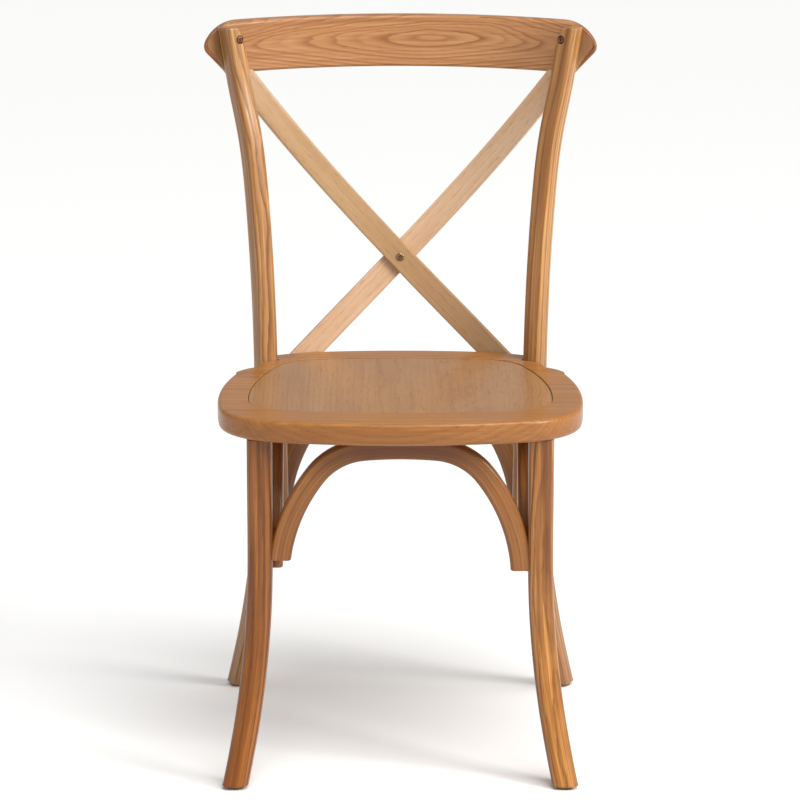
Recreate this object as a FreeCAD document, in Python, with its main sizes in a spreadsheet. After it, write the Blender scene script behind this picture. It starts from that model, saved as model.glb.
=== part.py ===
import FreeCAD, Part
import math
import os
import Sketcher
from FreeCAD import Placement, Rotation, Vector

# Cross back dining chair, in millimetres.
# X is across the seat, the sitter faces -Y, Z is up and the floor is Z = 0.

driving = {
    "chair_height": 885.0,
    "seat_height": 457.5,
    "seat_thickness": 27.5,
    "seat_half_width": 225.5,
    "seat_front": -247.5,
    "seat_rear": 175.5,
    "seat_widest": -90.5,
    "seat_front_bow": 650.0,
    "seat_rear_bow": 700.0,
    "seat_side_bow": 520.0,
    "seat_front_corner": 92.0,
    "seat_rear_corner": 85.0,
    "seat_top_round": 5.0,
    "seat_bottom_round": 6.5,
    "ear_root_x": 184.0,
    "ear_root_y": 73.0,
    "ear_bulge_x": 200.6,
    "ear_bulge_y": 57.0,
    "ear_end_x": 214.2,
    "ear_end_y": 20.0,
    "panel_side_margin": 37.5,
    "panel_front_margin": 62.0,
    "panel_rear_margin": 45.0,
    "panel_corner": 62.0,
    "panel_thickness": 5.0,
    "panel_drop": 0.8,
    "panel_gap": 0.4,
    "panel_bevel": 1.0,
    "front_leg_x": 171.2,
    "front_leg_y": -196.5,
    "front_leg_width": 31.0,
    "front_leg_round": 10.5,
    "front_foot_out": 31.5,
    "front_foot_forward": 47.0,
    "front_bend_height": 280.0,
    "tenon_radius": 11.0,
    "tenon_length": 14.0,
    "tenon_root": 5.0,
    "post_x": 172.2,
    "post_y": 120.0,
    "post_width": 26.0,
    "post_depth": 27.0,
    "post_round": 7.5,
    "post_turn": 30.0,
    "rear_foot_out": 42.0,
    "rear_foot_back": 80.5,
    "rear_bend_height": 350.0,
    "post_top_drop": 5.0,
    "post_top_out": 43.0,
    "post_top_back": 42.5,
    "rail_height": 67.0,
    "rail_thickness": 20.0,
    "rail_half_width": 249.0,
    "rail_bow": 410.0,
    "rail_face": 236.5,
    "rail_round": 5.0,
    "shoulder_inset": 14.0,
    "shoulder_round": 42.0,
    "ear_drop": 31.0,
    "ear_round": 14.0,
    "jaw_inset": 27.0,
    "jaw_round": 8.0,
    "slat_width": 30.5,
    "slat_thickness": 8.0,
    "slat_round": 1.5,
    "slat_sideways_bow": 17.0,
    "slat_low_bow": 340.0,
    "slat_low_face": 182.0,
    "slat_foot_drop": 20.0,
    "slat_top_inset": 14.0,
    "slat_top_drop": 23.5,
    "slat_foot_inset": 4.2,
    "relief_gap": 0.9,
    "arch_bar": 26.5,
    "arch_thickness": 20.0,
    "arch_round": 5.5,
    "arch_crown_bow": 500.0,
    "arch_corner_bow": 70.0,
    "arch_limb_bow": 200.0,
    "arch_corner_angle": 52.0,
    "front_arch_span": 161.5,
    "rear_arch_span": 167.5,
    "side_arch_span": 146.0,
    "front_arch_left_foot": 277.0,
    "front_arch_right_foot": 264.0,
    "rear_arch_foot": 270.0,
    "side_arch_foot": 262.0,
    "side_arch_x": 155.5,
    "side_arch_width": 23.0,
    "glide_radius": 11.0,
    "glide_height": 4.0,
    "snip_width": 8.5,
    "snip_height": 34.0,
    "crest_screw_drop": 20.0,
    "crest_screw_inward": 5.5,
    "crest_screw_length": 38.0,
    "crossing_screw_length": 14.5,
    "slat_screw_length": 26.0,
    "arch_screw_length": 38.0,
    "arch_screw_spread": 28.0,
    "arch_screw_rise": 15.0,
    "side_screw_rise": 9.0,
    "seat_bolt_rise": 15.0,
    "seat_bolt_length": 58.0,
    "washer_seat": 0.6,
    "washer_radius": 8.5,
    "washer_thickness": 1.2,
    "nail_radius": 1.2,
    "nail_length": 18.0,
    "nail_head_radius": 3.2,
    "nail_head_height": 1.2,
    "screw_radius": 2.5,
    "screw_head_radius": 5.2,
    "screw_head_height": 2.6,
    "screw_sink": 3.4,
    "driver_reach": 30.0,
    "bolt_radius": 3.0,
    "bolt_head_radius": 6.5,
    "bolt_head_height": 3.2,
    "hole_clearance": 0.25,
    "seating": 0.3,
}

doc = FreeCAD.newDocument("cross_back_chair")
sheet = doc.addObject("Spreadsheet::Sheet", "dimensions")
for row, (alias, value) in enumerate(driving.items(), start=1):
    sheet.set(f"A{row}", alias)
    sheet.set(f"B{row}", str(value))
    sheet.setAlias(f"B{row}", alias)
doc.recompute()


def size(alias):
    """The value of one cell of the sheet."""
    return float(sheet.get(alias))


def bind(target, **cells):
    """Bind properties of an object to expressions of the sheet's cells."""
    for prop, formula in cells.items():
        words = [w for w in formula.replace("(", " ").replace(")", " ").split() if w in driving]
        for word in set(words):
            formula = formula.replace(word, f"dimensions.{word}")
        target.setExpression(prop, formula)


parts = {}


def publish(node, source):
    """Keep a finished object as the sub-part that is exported under this name."""
    source.Label = node
    parts[node] = source


def new_body(name):
    """A PartDesign body with its origin planes."""
    return doc.addObject("PartDesign::Body", name)


def plane_of(body, role):
    """One of a body's own origin planes."""
    return next(item for item in body.Origin.OriginFeatures if item.Role == role)


def body_sketch(body, name, role):
    """An empty sketch on an origin plane of a body."""
    sketch = body.newObject("Sketcher::SketchObject", name)
    sketch.AttachmentSupport = [(plane_of(body, role), "")]
    sketch.MapMode = "FlatFace"
    return sketch


def pad(body, name, sketch, **cells):
    """A pad of a sketch with its sizes bound to the sheet."""
    feature = body.newObject("PartDesign::Pad", name)
    feature.Profile = sketch
    bind(feature, **cells)
    return feature


def pocket(body, name, sketch, reversed_way=False, **cells):
    """A pocket of a sketch with its sizes bound to the sheet."""
    feature = body.newObject("PartDesign::Pocket", name)
    feature.Profile = sketch
    feature.Reversed = reversed_way
    bind(feature, **cells)
    return feature


def edge_names(shape, wanted):
    """Names of the edges of a shape for which a test holds."""
    return [f"Edge{i}" for i, edge in enumerate(shape.Edges, start=1) if wanted(edge)]


def round_edges(body, name, base, wanted, cell):
    """A fillet on the edges of a body's feature that a test picks."""
    doc.recompute()
    feature = body.newObject("PartDesign::Fillet", name)
    feature.Base = (base, edge_names(base.Shape, wanted))
    bind(feature, Radius=cell)
    return feature


def join(kind, name, base, tool):
    """One boolean of two objects: Part::Cut, Part::Common or Part::Fuse."""
    result = doc.addObject(kind, name)
    result.Base = base
    result.Tool = tool
    return result


def gather(name, members):
    """A compound of several objects that cut together."""
    group = doc.addObject("Part::Compound", name)
    group.Links = members
    return group


def rounded_section(name, place, width, depth, corner):
    """A rounded rectangle about its origin, with its sizes bound to the sheet."""
    sketch = doc.addObject("Sketcher::SketchObject", name)
    sketch.Placement = place
    wide = size(width) / 2
    deep = size(depth) / 2
    round_off = size(corner)
    inner_x = wide - round_off
    inner_y = deep - round_off
    up = Vector(0, 0, 1)
    lines = [
        ((-inner_x, -deep), (inner_x, -deep)),
        ((wide, -inner_y), (wide, inner_y)),
        ((inner_x, deep), (-inner_x, deep)),
        ((-wide, inner_y), (-wide, -inner_y)),
    ]
    centres = [(inner_x, -inner_y), (inner_x, inner_y), (-inner_x, inner_y), (-inner_x, -inner_y)]
    for i, (start, end) in enumerate(lines):
        sketch.addGeometry(Part.LineSegment(Vector(*start, 0), Vector(*end, 0)))
        circle = Part.Circle(Vector(*centres[i], 0), up, round_off)
        first = math.radians(-90 + 90 * i)
        sketch.addGeometry(Part.ArcOfCircle(circle, first, first + math.pi / 2))
    for i in range(4):
        sketch.addConstraint(Sketcher.Constraint("Tangent", 2 * i, 2, 2 * i + 1, 1))
        sketch.addConstraint(Sketcher.Constraint("Tangent", 2 * i + 1, 2, (2 * i + 2) % 8, 1))
    sketch.addConstraint(Sketcher.Constraint("Horizontal", 0))
    sketch.addConstraint(Sketcher.Constraint("Vertical", 2))
    for other in (3, 5, 7):
        sketch.addConstraint(Sketcher.Constraint("Equal", 1, other))
    sketch.addConstraint(Sketcher.Constraint("Symmetric", 1, 3, 5, 3, -1, 1))
    spans = [
        sketch.addConstraint(Sketcher.Constraint("DistanceX", 7, 3, 1, 3, 2 * inner_x)),
        sketch.addConstraint(Sketcher.Constraint("DistanceY", 1, 3, 3, 3, 2 * inner_y)),
        sketch.addConstraint(Sketcher.Constraint("Radius", 1, round_off)),
    ]
    formulas = [f"{width} - 2 * {corner}", f"{depth} - 2 * {corner}", corner]
    for index, formula in zip(spans, formulas):
        bind(sketch, **{f"Constraints[{index}]": formula})
    return sketch


def spline_through(points):
    """A smooth curve through points in space."""
    curve = Part.BSplineCurve()
    curve.interpolate(points)
    return curve


def bent_stick(name, points, turn, width, depth, corner):
    """A steam-bent stick: one rounded section swept along a smooth path."""
    curve = spline_through(points)
    path = doc.addObject("Part::Feature", f"{name}_path")
    path.Shape = Part.Wire(curve.toShape())
    start = curve.value(curve.FirstParameter)
    along = curve.tangent(curve.FirstParameter)[0]
    sideways = Vector(math.cos(math.radians(turn)), math.sin(math.radians(turn)), 0)
    facing = Rotation(sideways, Vector(), along, "ZXY")
    section = rounded_section(f"{name}_section", Placement(start, facing), width, depth, corner)
    stick = doc.addObject("Part::Sweep", f"{name}_stick")
    stick.Sections = [section]
    stick.Spine = (path, ["Edge1"])
    stick.Solid = True
    stick.Frenet = False
    return stick


def cylinder(name, radius, height, place):
    """A Part cylinder whose radius and height are formulas of the sheet."""
    shape = doc.addObject("Part::Cylinder", name)
    bind(shape, Radius=radius, Height=height)
    shape.Placement = place
    return shape


def pointing(origin, direction):
    """A placement whose Z axis runs from a point along a direction."""
    return Placement(origin, Rotation(Vector(0, 0, 1), direction))


# Heights and faces that several pieces share.
underside = size("seat_height") - size("seat_thickness")
rail_bottom = size("chair_height") - size("rail_height")
post_top = size("chair_height") - size("post_top_drop")
slat_foot_height = underside - size("slat_foot_drop")

# Halvings of an interval when a point on a curve is looked for.
halvings = 40


def back_face(x, z):
    """Front face of the bent back: an upright bow at the rail, a tighter one at the seat."""
    share = (z - slat_foot_height) / (rail_bottom - slat_foot_height)
    share = min(max(share, 0), 1)
    bow = size("slat_low_bow") + share * (size("rail_bow") - size("slat_low_bow"))
    face = size("slat_low_face") + share * (size("rail_face") - size("slat_low_face"))
    return face - bow + math.sqrt(bow**2 - x**2)


def across(side, x, y, z=0.0):
    """A point on the left (-1) or right (+1) side of the chair."""
    return Vector(side * x, y, z)


def outward_normal(side):
    """Plan direction from the sitter to the back of a turned rear post."""
    turn = math.radians(size("post_turn"))
    return Vector(side * math.sin(turn), math.cos(turn), 0)


def inward(side):
    """Plan direction along a turned post's front face, towards the middle of the chair."""
    turn = math.radians(size("post_turn"))
    return Vector(-side * math.cos(turn), math.sin(turn), 0)


# Seat board: four bows with rounded corners, notched for the rear posts.
def crossing(first, first_bow, second, second_bow, near):
    """The crossing of two circles that lies nearer a point."""
    ring = Part.Circle(Vector(*first, 0), Vector(0, 0, 1), first_bow)
    other = Part.Circle(Vector(*second, 0), Vector(0, 0, 1), second_bow)
    hits = [Vector(p.X, p.Y, 0) for p in ring.intersect(other)]
    return min(hits, key=lambda p: p.distanceToPoint(Vector(*near, 0)))


def bowed_outline(sketch, half_width, front, rear, front_bow, rear_bow, side_bow):
    """A closed outline of four arcs: front, right, rear and left."""
    widest = size("seat_widest")
    front_centre = (0, front + front_bow)
    rear_centre = (0, rear - rear_bow)
    side_centre = (half_width - side_bow, widest)
    front_right = crossing(front_centre, front_bow, side_centre, side_bow, (half_width, front))
    rear_right = crossing(rear_centre, rear_bow, side_centre, side_bow, (half_width, rear))
    front_left = Vector(-front_right.x, front_right.y, 0)
    rear_left = Vector(-rear_right.x, rear_right.y, 0)
    rounds = [
        (front_left, Vector(0, front, 0), front_right),
        (front_right, Vector(half_width, widest, 0), rear_right),
        (rear_right, Vector(0, rear, 0), rear_left),
        (rear_left, Vector(-half_width, widest, 0), front_left),
    ]
    for i, (start, middle, end) in enumerate(rounds):
        sketch.addGeometry(Part.Arc(start, middle, end))
    for i in range(4):
        sketch.addConstraint(Sketcher.Constraint("Coincident", i, 2, (i + 1) % 4, 1))


def upright(edge):
    """True for a straight edge along Z."""
    return isinstance(edge.Curve, Part.Line) and abs(edge.Curve.Direction.z) > 0.99


def level_at(edge, height):
    """True for an edge that lies flat at a height."""
    box = edge.BoundBox
    return abs(box.ZMin - height) < 0.01 and abs(box.ZMax - height) < 0.01


post_centre_y = size("post_y")
half_depth = size("post_depth") / 2
half_width = size("post_width") / 2


def post_corner(side, sideways, backward):
    """A point of the turned post section at seat level, from its own centre."""
    centre = across(side, size("post_x"), post_centre_y)
    return centre - inward(side) * sideways + outward_normal(side) * backward


seat = new_body("seat_board_body")
outline = body_sketch(seat, "seat_outline", "XY_Plane")
bowed_outline(
    outline,
    size("seat_half_width"),
    size("seat_front"),
    size("seat_rear"),
    size("seat_front_bow"),
    size("seat_rear_bow"),
    size("seat_side_bow"),
)
board = pad(seat, "seat_pad", outline, Length="seat_thickness")
seat.Placement.Base.z = underside
front_rounds = round_edges(
    seat, "front_corners", board, lambda e: upright(e) and e.BoundBox.YMax < 0, "seat_front_corner"
)
rear_rounds = round_edges(
    seat, "rear_corners", front_rounds, lambda e: upright(e) and e.BoundBox.YMin > 0, "seat_rear_corner"
)
top_round = round_edges(
    seat, "top_round", rear_rounds, lambda e: level_at(e, size("seat_thickness")), "seat_top_round"
)
bottom_round = round_edges(
    seat, "bottom_round", top_round, lambda e: level_at(e, 0), "seat_bottom_round"
)

notch = body_sketch(seat, "post_notches", "XY_Plane")
for side in (-1, 1):
    inner_rear = post_corner(side, -half_width, 3 * half_depth)
    inner_front = post_corner(side, -half_width, -half_depth)
    outer_front = post_corner(side, half_width, -half_depth)
    ear_root = across(side, size("ear_root_x"), size("ear_root_y"))
    ear_bulge = across(side, size("ear_bulge_x"), size("ear_bulge_y"))
    ear_tip = across(side, size("ear_end_x"), size("ear_end_y"))
    outside = size("seat_half_width") + size("post_width")
    outside_front = across(side, outside, ear_tip.y)
    outside_rear = across(side, outside, inner_rear.y)
    notch.addGeometry(Part.LineSegment(inner_rear, inner_front))
    notch.addGeometry(Part.LineSegment(inner_front, outer_front))
    notch.addGeometry(Part.LineSegment(outer_front, ear_root))
    notch.addGeometry(Part.Arc(ear_root, ear_bulge, ear_tip))
    notch.addGeometry(Part.LineSegment(ear_tip, outside_front))
    notch.addGeometry(Part.LineSegment(outside_front, outside_rear))
    notch.addGeometry(Part.LineSegment(outside_rear, inner_rear))
notched = pocket(seat, "notch_pocket", notch, reversed_way=True, Length="seat_thickness")

relief = body_sketch(seat, "slat_relief", "XY_Plane")
relief_reach = size("post_x") + size("post_width")
relief_middle = back_face(0, underside) - size("relief_gap")
relief_end = back_face(relief_reach, underside) - size("relief_gap")
relief_left = across(-1, relief_reach, relief_end)
relief_right = across(1, relief_reach, relief_end)
relief.addGeometry(Part.Arc(relief_left, Vector(0, relief_middle, 0), relief_right))
behind_left = across(-1, relief_reach, size("rail_face"))
behind_right = across(1, relief_reach, size("rail_face"))
for start, end in (
    (relief_right, behind_right), (behind_right, behind_left), (behind_left, relief_left)
):
    relief.addGeometry(Part.LineSegment(start, end))
pocket(seat, "slat_relief_pocket", relief, reversed_way=True, Length="seat_thickness")

recess_outline = body_sketch(seat, "panel_recess_outline", "XY_Plane")
recess_outline.AttachmentOffset = Placement(Vector(0, 0, size("seat_thickness")), Rotation())
panel_half = size("seat_half_width") - size("panel_side_margin")
panel_front = size("seat_front") + size("panel_front_margin")
panel_rear = size("seat_rear") - size("panel_rear_margin")
bowed_outline(
    recess_outline,
    panel_half,
    panel_front,
    panel_rear,
    size("seat_front_bow"),
    size("seat_rear_bow"),
    size("seat_side_bow") - size("panel_side_margin"),
)
recess = pocket(seat, "panel_recess", recess_outline, Length="panel_thickness + panel_drop")
recess_corners = round_edges(
    seat, "recess_corners", recess,
    lambda e: upright(e) and abs(e.BoundBox.XMax) < panel_half and e.BoundBox.ZMin > 0
    and abs(e.Length - size("panel_thickness") - size("panel_drop")) < 0.01,
    "panel_corner",
)
seat.Tip = recess_corners
doc.recompute()

# Seat panel: a thin board that drops into the recess with a fine gap round it.
panel = new_body("seat_panel_body")
panel_outline = body_sketch(panel, "panel_outline", "XY_Plane")
gap = size("panel_gap")
bowed_outline(
    panel_outline,
    panel_half - gap,
    panel_front + gap,
    panel_rear - gap,
    size("seat_front_bow") - gap,
    size("seat_rear_bow") - gap,
    size("seat_side_bow") - size("panel_side_margin") - gap,
)
panel_pad = pad(panel, "panel_pad", panel_outline, Length="panel_thickness")
panel_corners = round_edges(panel, "panel_corners", panel_pad, upright, "panel_corner - panel_gap")
doc.recompute()
panel_bevel = panel.newObject("PartDesign::Chamfer", "panel_bevel")
panel_bevel.Base = (
    panel_corners,
    edge_names(panel_corners.Shape, lambda e: level_at(e, size("panel_thickness"))),
)
bind(panel_bevel, Size="panel_bevel")
panel_floor = size("seat_height") - size("panel_thickness") - size("panel_drop")
panel.Placement.Base.z = panel_floor
doc.recompute()
publish("seat_panel", panel)

# Rear posts: one stick each from the floor to the crest rail.
glide_top = size("glide_height")
post_top_out = size("post_x") + size("post_top_out")
post_top_back = post_centre_y + size("post_top_back")
# A stick leaves its upright line by a power of the share of its bend that lies below a station.
flare = 2.0
rear_flare = 1.9
# Each path runs this share of its first step past the floor, and a level cut trims it.
overrun = 0.1
foot_share = [1.0, 0.72, 0.46, 0.24, 0.08]
# Shares of the height above the seat and of the post's sideways and backward bend.
rise_share = [
    (0.17, 0.04, 0.12),
    (0.34, 0.12, 0.31),
    (0.52, 0.25, 0.55),
    (0.70, 0.47, 0.80),
    (0.84, 0.76, 0.98),
    (0.92, 0.90, 1.01),
    (1.03, 1.09, 0.99),
]


def post_path(side):
    """Stations of a rear post: the splayed foot, the upright middle and the bent top."""
    points = []
    for share in foot_share:
        height = size("rear_bend_height") * (1 - share)
        out = size("rear_foot_out") * share**flare
        back = size("rear_foot_back") * share**rear_flare
        points.append(across(side, size("post_x") + out, post_centre_y + back, height))
    points.append(across(side, size("post_x"), post_centre_y, underside))
    rise = post_top - underside
    for height, out, back in rise_share:
        points.append(
            across(
                side,
                size("post_x") + size("post_top_out") * out,
                post_centre_y + size("post_top_back") * back,
                underside + rise * height,
            )
        )
    points[0] = points[0] + (points[0] - points[1]) * overrun
    return points


slab_half = size("seat_half_width") + size("rear_foot_out")


def trimmed(name, stick, low, high):
    """A stick cut level at both ends."""
    slab = doc.addObject("Part::Box", f"{name}_slab")
    slab.Length = 2 * slab_half
    slab.Width = 4 * slab_half
    slab.Height = high - low
    slab.Placement = Placement(Vector(-slab_half, -2 * slab_half, low), Rotation())
    return join("Part::Common", f"{name}_trimmed", stick, slab)


posts = {}
post_splines = {}
for side, word in ((-1, "left"), (1, "right")):
    name = f"rear_post_{word}"
    path = post_path(side)
    post_splines[side] = spline_through(path)
    turn = -side * size("post_turn")
    stick = bent_stick(name, path, turn, "post_width", "post_depth", "post_round")
    posts[side] = trimmed(name, stick, glide_top, post_top)

# Front legs: straight under the seat, splayed at the foot, with a round tenon on top.
legs = {}
front_share = [1.0, 0.75, 0.5, 0.25, 0.0]
for side, word in ((-1, "left"), (1, "right")):
    name = f"front_leg_{word}"
    path = []
    for share in front_share:
        height = size("front_bend_height") * (1 - share)
        out = size("front_foot_out") * share**flare
        forward = size("front_foot_forward") * share**flare
        path.append(across(side, size("front_leg_x") + out, size("front_leg_y") - forward, height))
    path[0] = path[0] + (path[0] - path[1]) * overrun
    for height in ((underside + size("front_bend_height")) / 2, underside + size("tenon_length")):
        path.append(across(side, size("front_leg_x"), size("front_leg_y"), height))
    stick = bent_stick(name, path, 0, "front_leg_width", "front_leg_width", "front_leg_round")
    leg = trimmed(name, stick, glide_top, underside)
    tenon_base = across(side, size("front_leg_x"), size("front_leg_y"), underside - size("tenon_root"))
    tenon = cylinder(
        f"{name}_tenon", "tenon_radius", "tenon_length + tenon_root", Placement(tenon_base, Rotation())
    )
    legs[side] = join("Part::Fuse", f"{name}_tenoned", leg, tenon)

# Crest rail: an upright bent board, its plan bow crossed with its front outline.
rail = new_body("crest_rail_plan")
rail_plan = body_sketch(rail, "rail_plan", "XY_Plane")
rail_centre = Vector(0, size("rail_face") - size("rail_bow"), 0)
rail_reach = size("rail_half_width") + size("ear_round")


def plan_bow(sketch, inner, outer, reach):
    """A band between two arcs about the rail's centre, closed by its two ends."""
    ends = []
    for radius in (inner, outer):
        back = math.sqrt(radius**2 - reach**2)
        left = rail_centre + Vector(-reach, back, 0)
        right = rail_centre + Vector(reach, back, 0)
        sketch.addGeometry(Part.Arc(left, rail_centre + Vector(0, radius, 0), right))
        ends.append((left, right))
    for i in (0, 1):
        sketch.addGeometry(Part.LineSegment(ends[0][i], ends[1][i]))


plan_bow(rail_plan, size("rail_bow"), size("rail_bow") + size("rail_thickness"), rail_reach)
pad(rail, "rail_band", rail_plan, Length="chair_height")


def front_slice(name, half_outline):
    """A symmetric front outline, given from its top to its foot, padded through the back."""
    body = new_body(name)
    sketch = body_sketch(body, f"{name}_outline", "XZ_Plane")
    right = [Vector(x, z, 0) for x, z in half_outline]
    left = [Vector(-p.x, p.y, 0) for p in reversed(right)]
    corners = right + left
    for i, corner in enumerate(corners):
        sketch.addGeometry(Part.LineSegment(corner, corners[(i + 1) % len(corners)]))
    slice_pad = pad(body, f"{name}_pad", sketch, Length="2 * rail_face")
    slice_pad.Reversed = True
    return body, slice_pad


def through_depth(edge):
    """True for a straight edge along Y."""
    return isinstance(edge.Curve, Part.Line) and abs(edge.Curve.Direction.y) > 0.99


def near_height(edge, height):
    """True for an edge whose middle lies at a height."""
    return abs(edge.BoundBox.Center.z - height) < 0.01


rail_top = size("chair_height")
shoulder = (size("rail_half_width") - size("shoulder_inset"), rail_top)
ear_tip = (size("rail_half_width") + size("ear_round") / 4, rail_top - size("ear_drop"))
jaw = (size("rail_half_width") - size("jaw_inset"), rail_bottom)
below_ear = (ear_tip[0], size("seat_height") / 2)


def rounded_slice(name, half_outline):
    """A front slice with round shoulders and ears."""
    body, outline_pad = front_slice(name, half_outline)
    shoulders = round_edges(
        body, f"{name}_shoulders", outline_pad,
        lambda e: through_depth(e) and near_height(e, shoulder[1]), "shoulder_round",
    )
    ears = round_edges(
        body, f"{name}_ears", shoulders,
        lambda e: through_depth(e) and near_height(e, ear_tip[1]), "ear_round",
    )
    return body, ears


rail_outline, rail_ears = rounded_slice("crest_rail_front", [shoulder, ear_tip, jaw])
round_edges(
    rail_outline, "crest_rail_jaws", rail_ears,
    lambda e: through_depth(e) and near_height(e, rail_bottom), "jaw_round",
)
rail_blank = join("Part::Common", "crest_rail_blank", rail, rail_outline)
doc.recompute()
rail_rounded = doc.addObject("Part::Fillet", "crest_rail_rounded")
rail_rounded.Base = rail_blank
inner_bow = size("rail_bow")
outer_bow = inner_bow + size("rail_thickness")


def on_rail_face(edge):
    """True for an outline edge of the rail that lies in one of its two bowed faces."""
    middle = edge.valueAt((edge.FirstParameter + edge.LastParameter) / 2)
    radius = math.hypot(middle.x, middle.y - rail_centre.y)
    return min(abs(radius - inner_bow), abs(radius - outer_bow)) < 0.05


rail_rounded.Edges = [
    (i, size("rail_round"), size("rail_round"))
    for i, edge in enumerate(rail_blank.Shape.Edges, start=1)
    if on_rail_face(edge)
]
doc.recompute()

# Cross slats: two flat strips bent to the back, one in front of the other where they cross.
slat_top = Vector(
    size("slat_top_inset") - size("rail_half_width"), 0, size("chair_height") - size("slat_top_drop")
)
slat_foot = Vector(size("post_x") - size("slat_foot_inset"), 0, slat_foot_height)
bow_lead = 1.25
bow_fade = 0.5


def slat_line(share):
    """Front view of the slat's centre line: its chord with a slight sideways bow."""
    chord = slat_foot - slat_top
    sideways = Vector(-chord.z, 0, chord.x).normalize()
    bow = size("slat_sideways_bow") * 4 * share * (1 - share) * (bow_lead - bow_fade * share)
    return slat_top + chord * share - sideways * bow


def share_where(reached):
    """The share of the slat's line at which a test of its point first holds."""
    low, high = 0.0, 1.0
    for _ in range(halvings):
        middle = (low + high) / 2
        if reached(slat_line(middle)):
            high = middle
        else:
            low = middle
    return high


crossing_share = share_where(lambda point: point.x > 0)


def slat_point(share, layer):
    """Centre of the strip in space; the layers part by one thickness where they cross."""
    flat = slat_line(share)
    reach = crossing_share if share < crossing_share else 1 - crossing_share
    spread = math.cos(math.pi / 2 * min(abs(share - crossing_share) / reach, 1)) ** 2
    depth = size("slat_thickness") * (0.5 + layer * 0.5 * spread)
    return Vector(flat.x, back_face(flat.x, flat.z) + depth, flat.z)


def slat_frame(share, layer):
    """Placement of the strip's section, square to its path and flat on the bent back."""
    step = 0.002
    here = slat_point(share, layer)
    along = (slat_point(share + step, layer) - slat_point(share - step, layer)).normalize()
    reach = 0.5
    over_x = back_face(here.x + reach, here.z) - back_face(here.x - reach, here.z)
    over_z = back_face(here.x, here.z + reach) - back_face(here.x, here.z - reach)
    behind = Vector(-over_x / (2 * reach), 1, -over_z / (2 * reach)).normalize()
    return Placement(here, Rotation(Vector(), behind, along, "ZYX"))


slat_shares = [-0.1, -0.02, 0.1, 0.22, 0.36, 0.5, 0.64, 0.78, 0.9, 1.02]
slats = {}
for layer, word in ((-1, "front"), (1, "rear")):
    name = f"cross_slat_{word}"
    sections = []
    for i, share in enumerate(slat_shares):
        place = slat_frame(share, layer)
        sections.append(
            rounded_section(f"{name}_section_{i}", place, "slat_width", "slat_thickness", "slat_round")
        )
    strip = doc.addObject("Part::Loft", f"{name}_strip")
    strip.Sections = sections
    strip.Solid = True
    strip.Ruled = False
    if layer > 0:
        mirrored = doc.addObject("Part::Mirroring", f"{name}_mirrored")
        mirrored.Source = strip
        mirrored.Normal = Vector(1, 0, 0)
        strip = mirrored
    slats[layer] = strip
slat_reach, slat_reach_ears = rounded_slice("slat_reach", [shoulder, ear_tip, below_ear])
trimmed_slats = {}
for layer, strip in slats.items():
    trimmed_slats[layer] = join("Part::Common", f"{strip.Name}_trimmed", strip, slat_reach)

# Bentwood arches: a bar of three tangent bows a side, rounded along its long edges.
arch_top = underside - size("arch_bar")


def arch_bows(span):
    """Centres of the crown, corner and limb bows of an arch's inner edge, for an outer half span."""
    turn = math.radians(size("arch_corner_angle"))
    step = size("arch_limb_bow") - size("arch_corner_bow")
    corner_x = span + step * math.sin(turn) - size("arch_limb_bow") - size("arch_bar")
    crown_step = size("arch_crown_bow") - size("arch_corner_bow")
    crown_turn = math.asin(corner_x / crown_step)
    crown_z = arch_top - size("arch_crown_bow")
    corner_z = crown_z + crown_step * math.cos(crown_turn)
    limb_x = corner_x - step * math.sin(turn)
    limb_z = corner_z - step * math.cos(turn)
    return (crown_z, crown_turn), (corner_x, corner_z, turn), (limb_x, limb_z)


def arch_edge(span, offset, side, foot):
    """One side of one edge of an arch: points at the crown, the corner and along the limb."""
    (crown_z, crown_turn), (corner_x, corner_z, turn), (limb_x, limb_z) = arch_bows(span)
    crown = size("arch_crown_bow") + offset
    corner = size("arch_corner_bow") + offset
    limb = size("arch_limb_bow") + offset
    limb_turn = math.acos((foot - limb_z) / limb)

    def on_bow(x, z, radius, angle):
        return across(side, x + radius * math.sin(angle), z + radius * math.cos(angle))

    return [
        on_bow(0, crown_z, crown, crown_turn),
        on_bow(corner_x, corner_z, corner, (crown_turn + turn) / 2),
        on_bow(corner_x, corner_z, corner, turn),
        on_bow(limb_x, limb_z, limb, (turn + limb_turn) / 2),
        on_bow(limb_x, limb_z, limb, limb_turn),
    ]


def arch_body(name, span, left_foot, right_foot, thickness):
    """An arch in its own XZ plane, rounded along its four long edges."""
    body = new_body(f"{name}_body")
    sketch = body_sketch(body, f"{name}_outline", "XZ_Plane")
    edges = {}
    for offset in (0, size("arch_bar")):
        left = arch_edge(span, offset, -1, left_foot)
        right = arch_edge(span, offset, 1, right_foot)
        for limb in (left, right):
            sketch.addGeometry(Part.Arc(limb[0], limb[1], limb[2]))
            sketch.addGeometry(Part.Arc(limb[2], limb[3], limb[4]))
        sketch.addGeometry(Part.Arc(left[0], Vector(0, arch_top + offset, 0), right[0]))
        edges[offset] = (left[4], right[4])
    inner, outer = edges.values()
    for start, end in zip(inner, outer):
        sketch.addGeometry(Part.LineSegment(start, end))
    bar = pad(body, f"{name}_bar", sketch, Length=thickness)
    bar.Midplane = True
    long_edge = size(thickness) / 2

    def long_run(edge):
        box = edge.BoundBox
        flat = abs(abs(box.Center.y) - long_edge) < 0.01 and box.YLength < 0.01
        return flat and not isinstance(edge.Curve, Part.Line)

    round_edges(body, f"{name}_rounds", bar, long_run, "arch_round")
    return body


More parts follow.
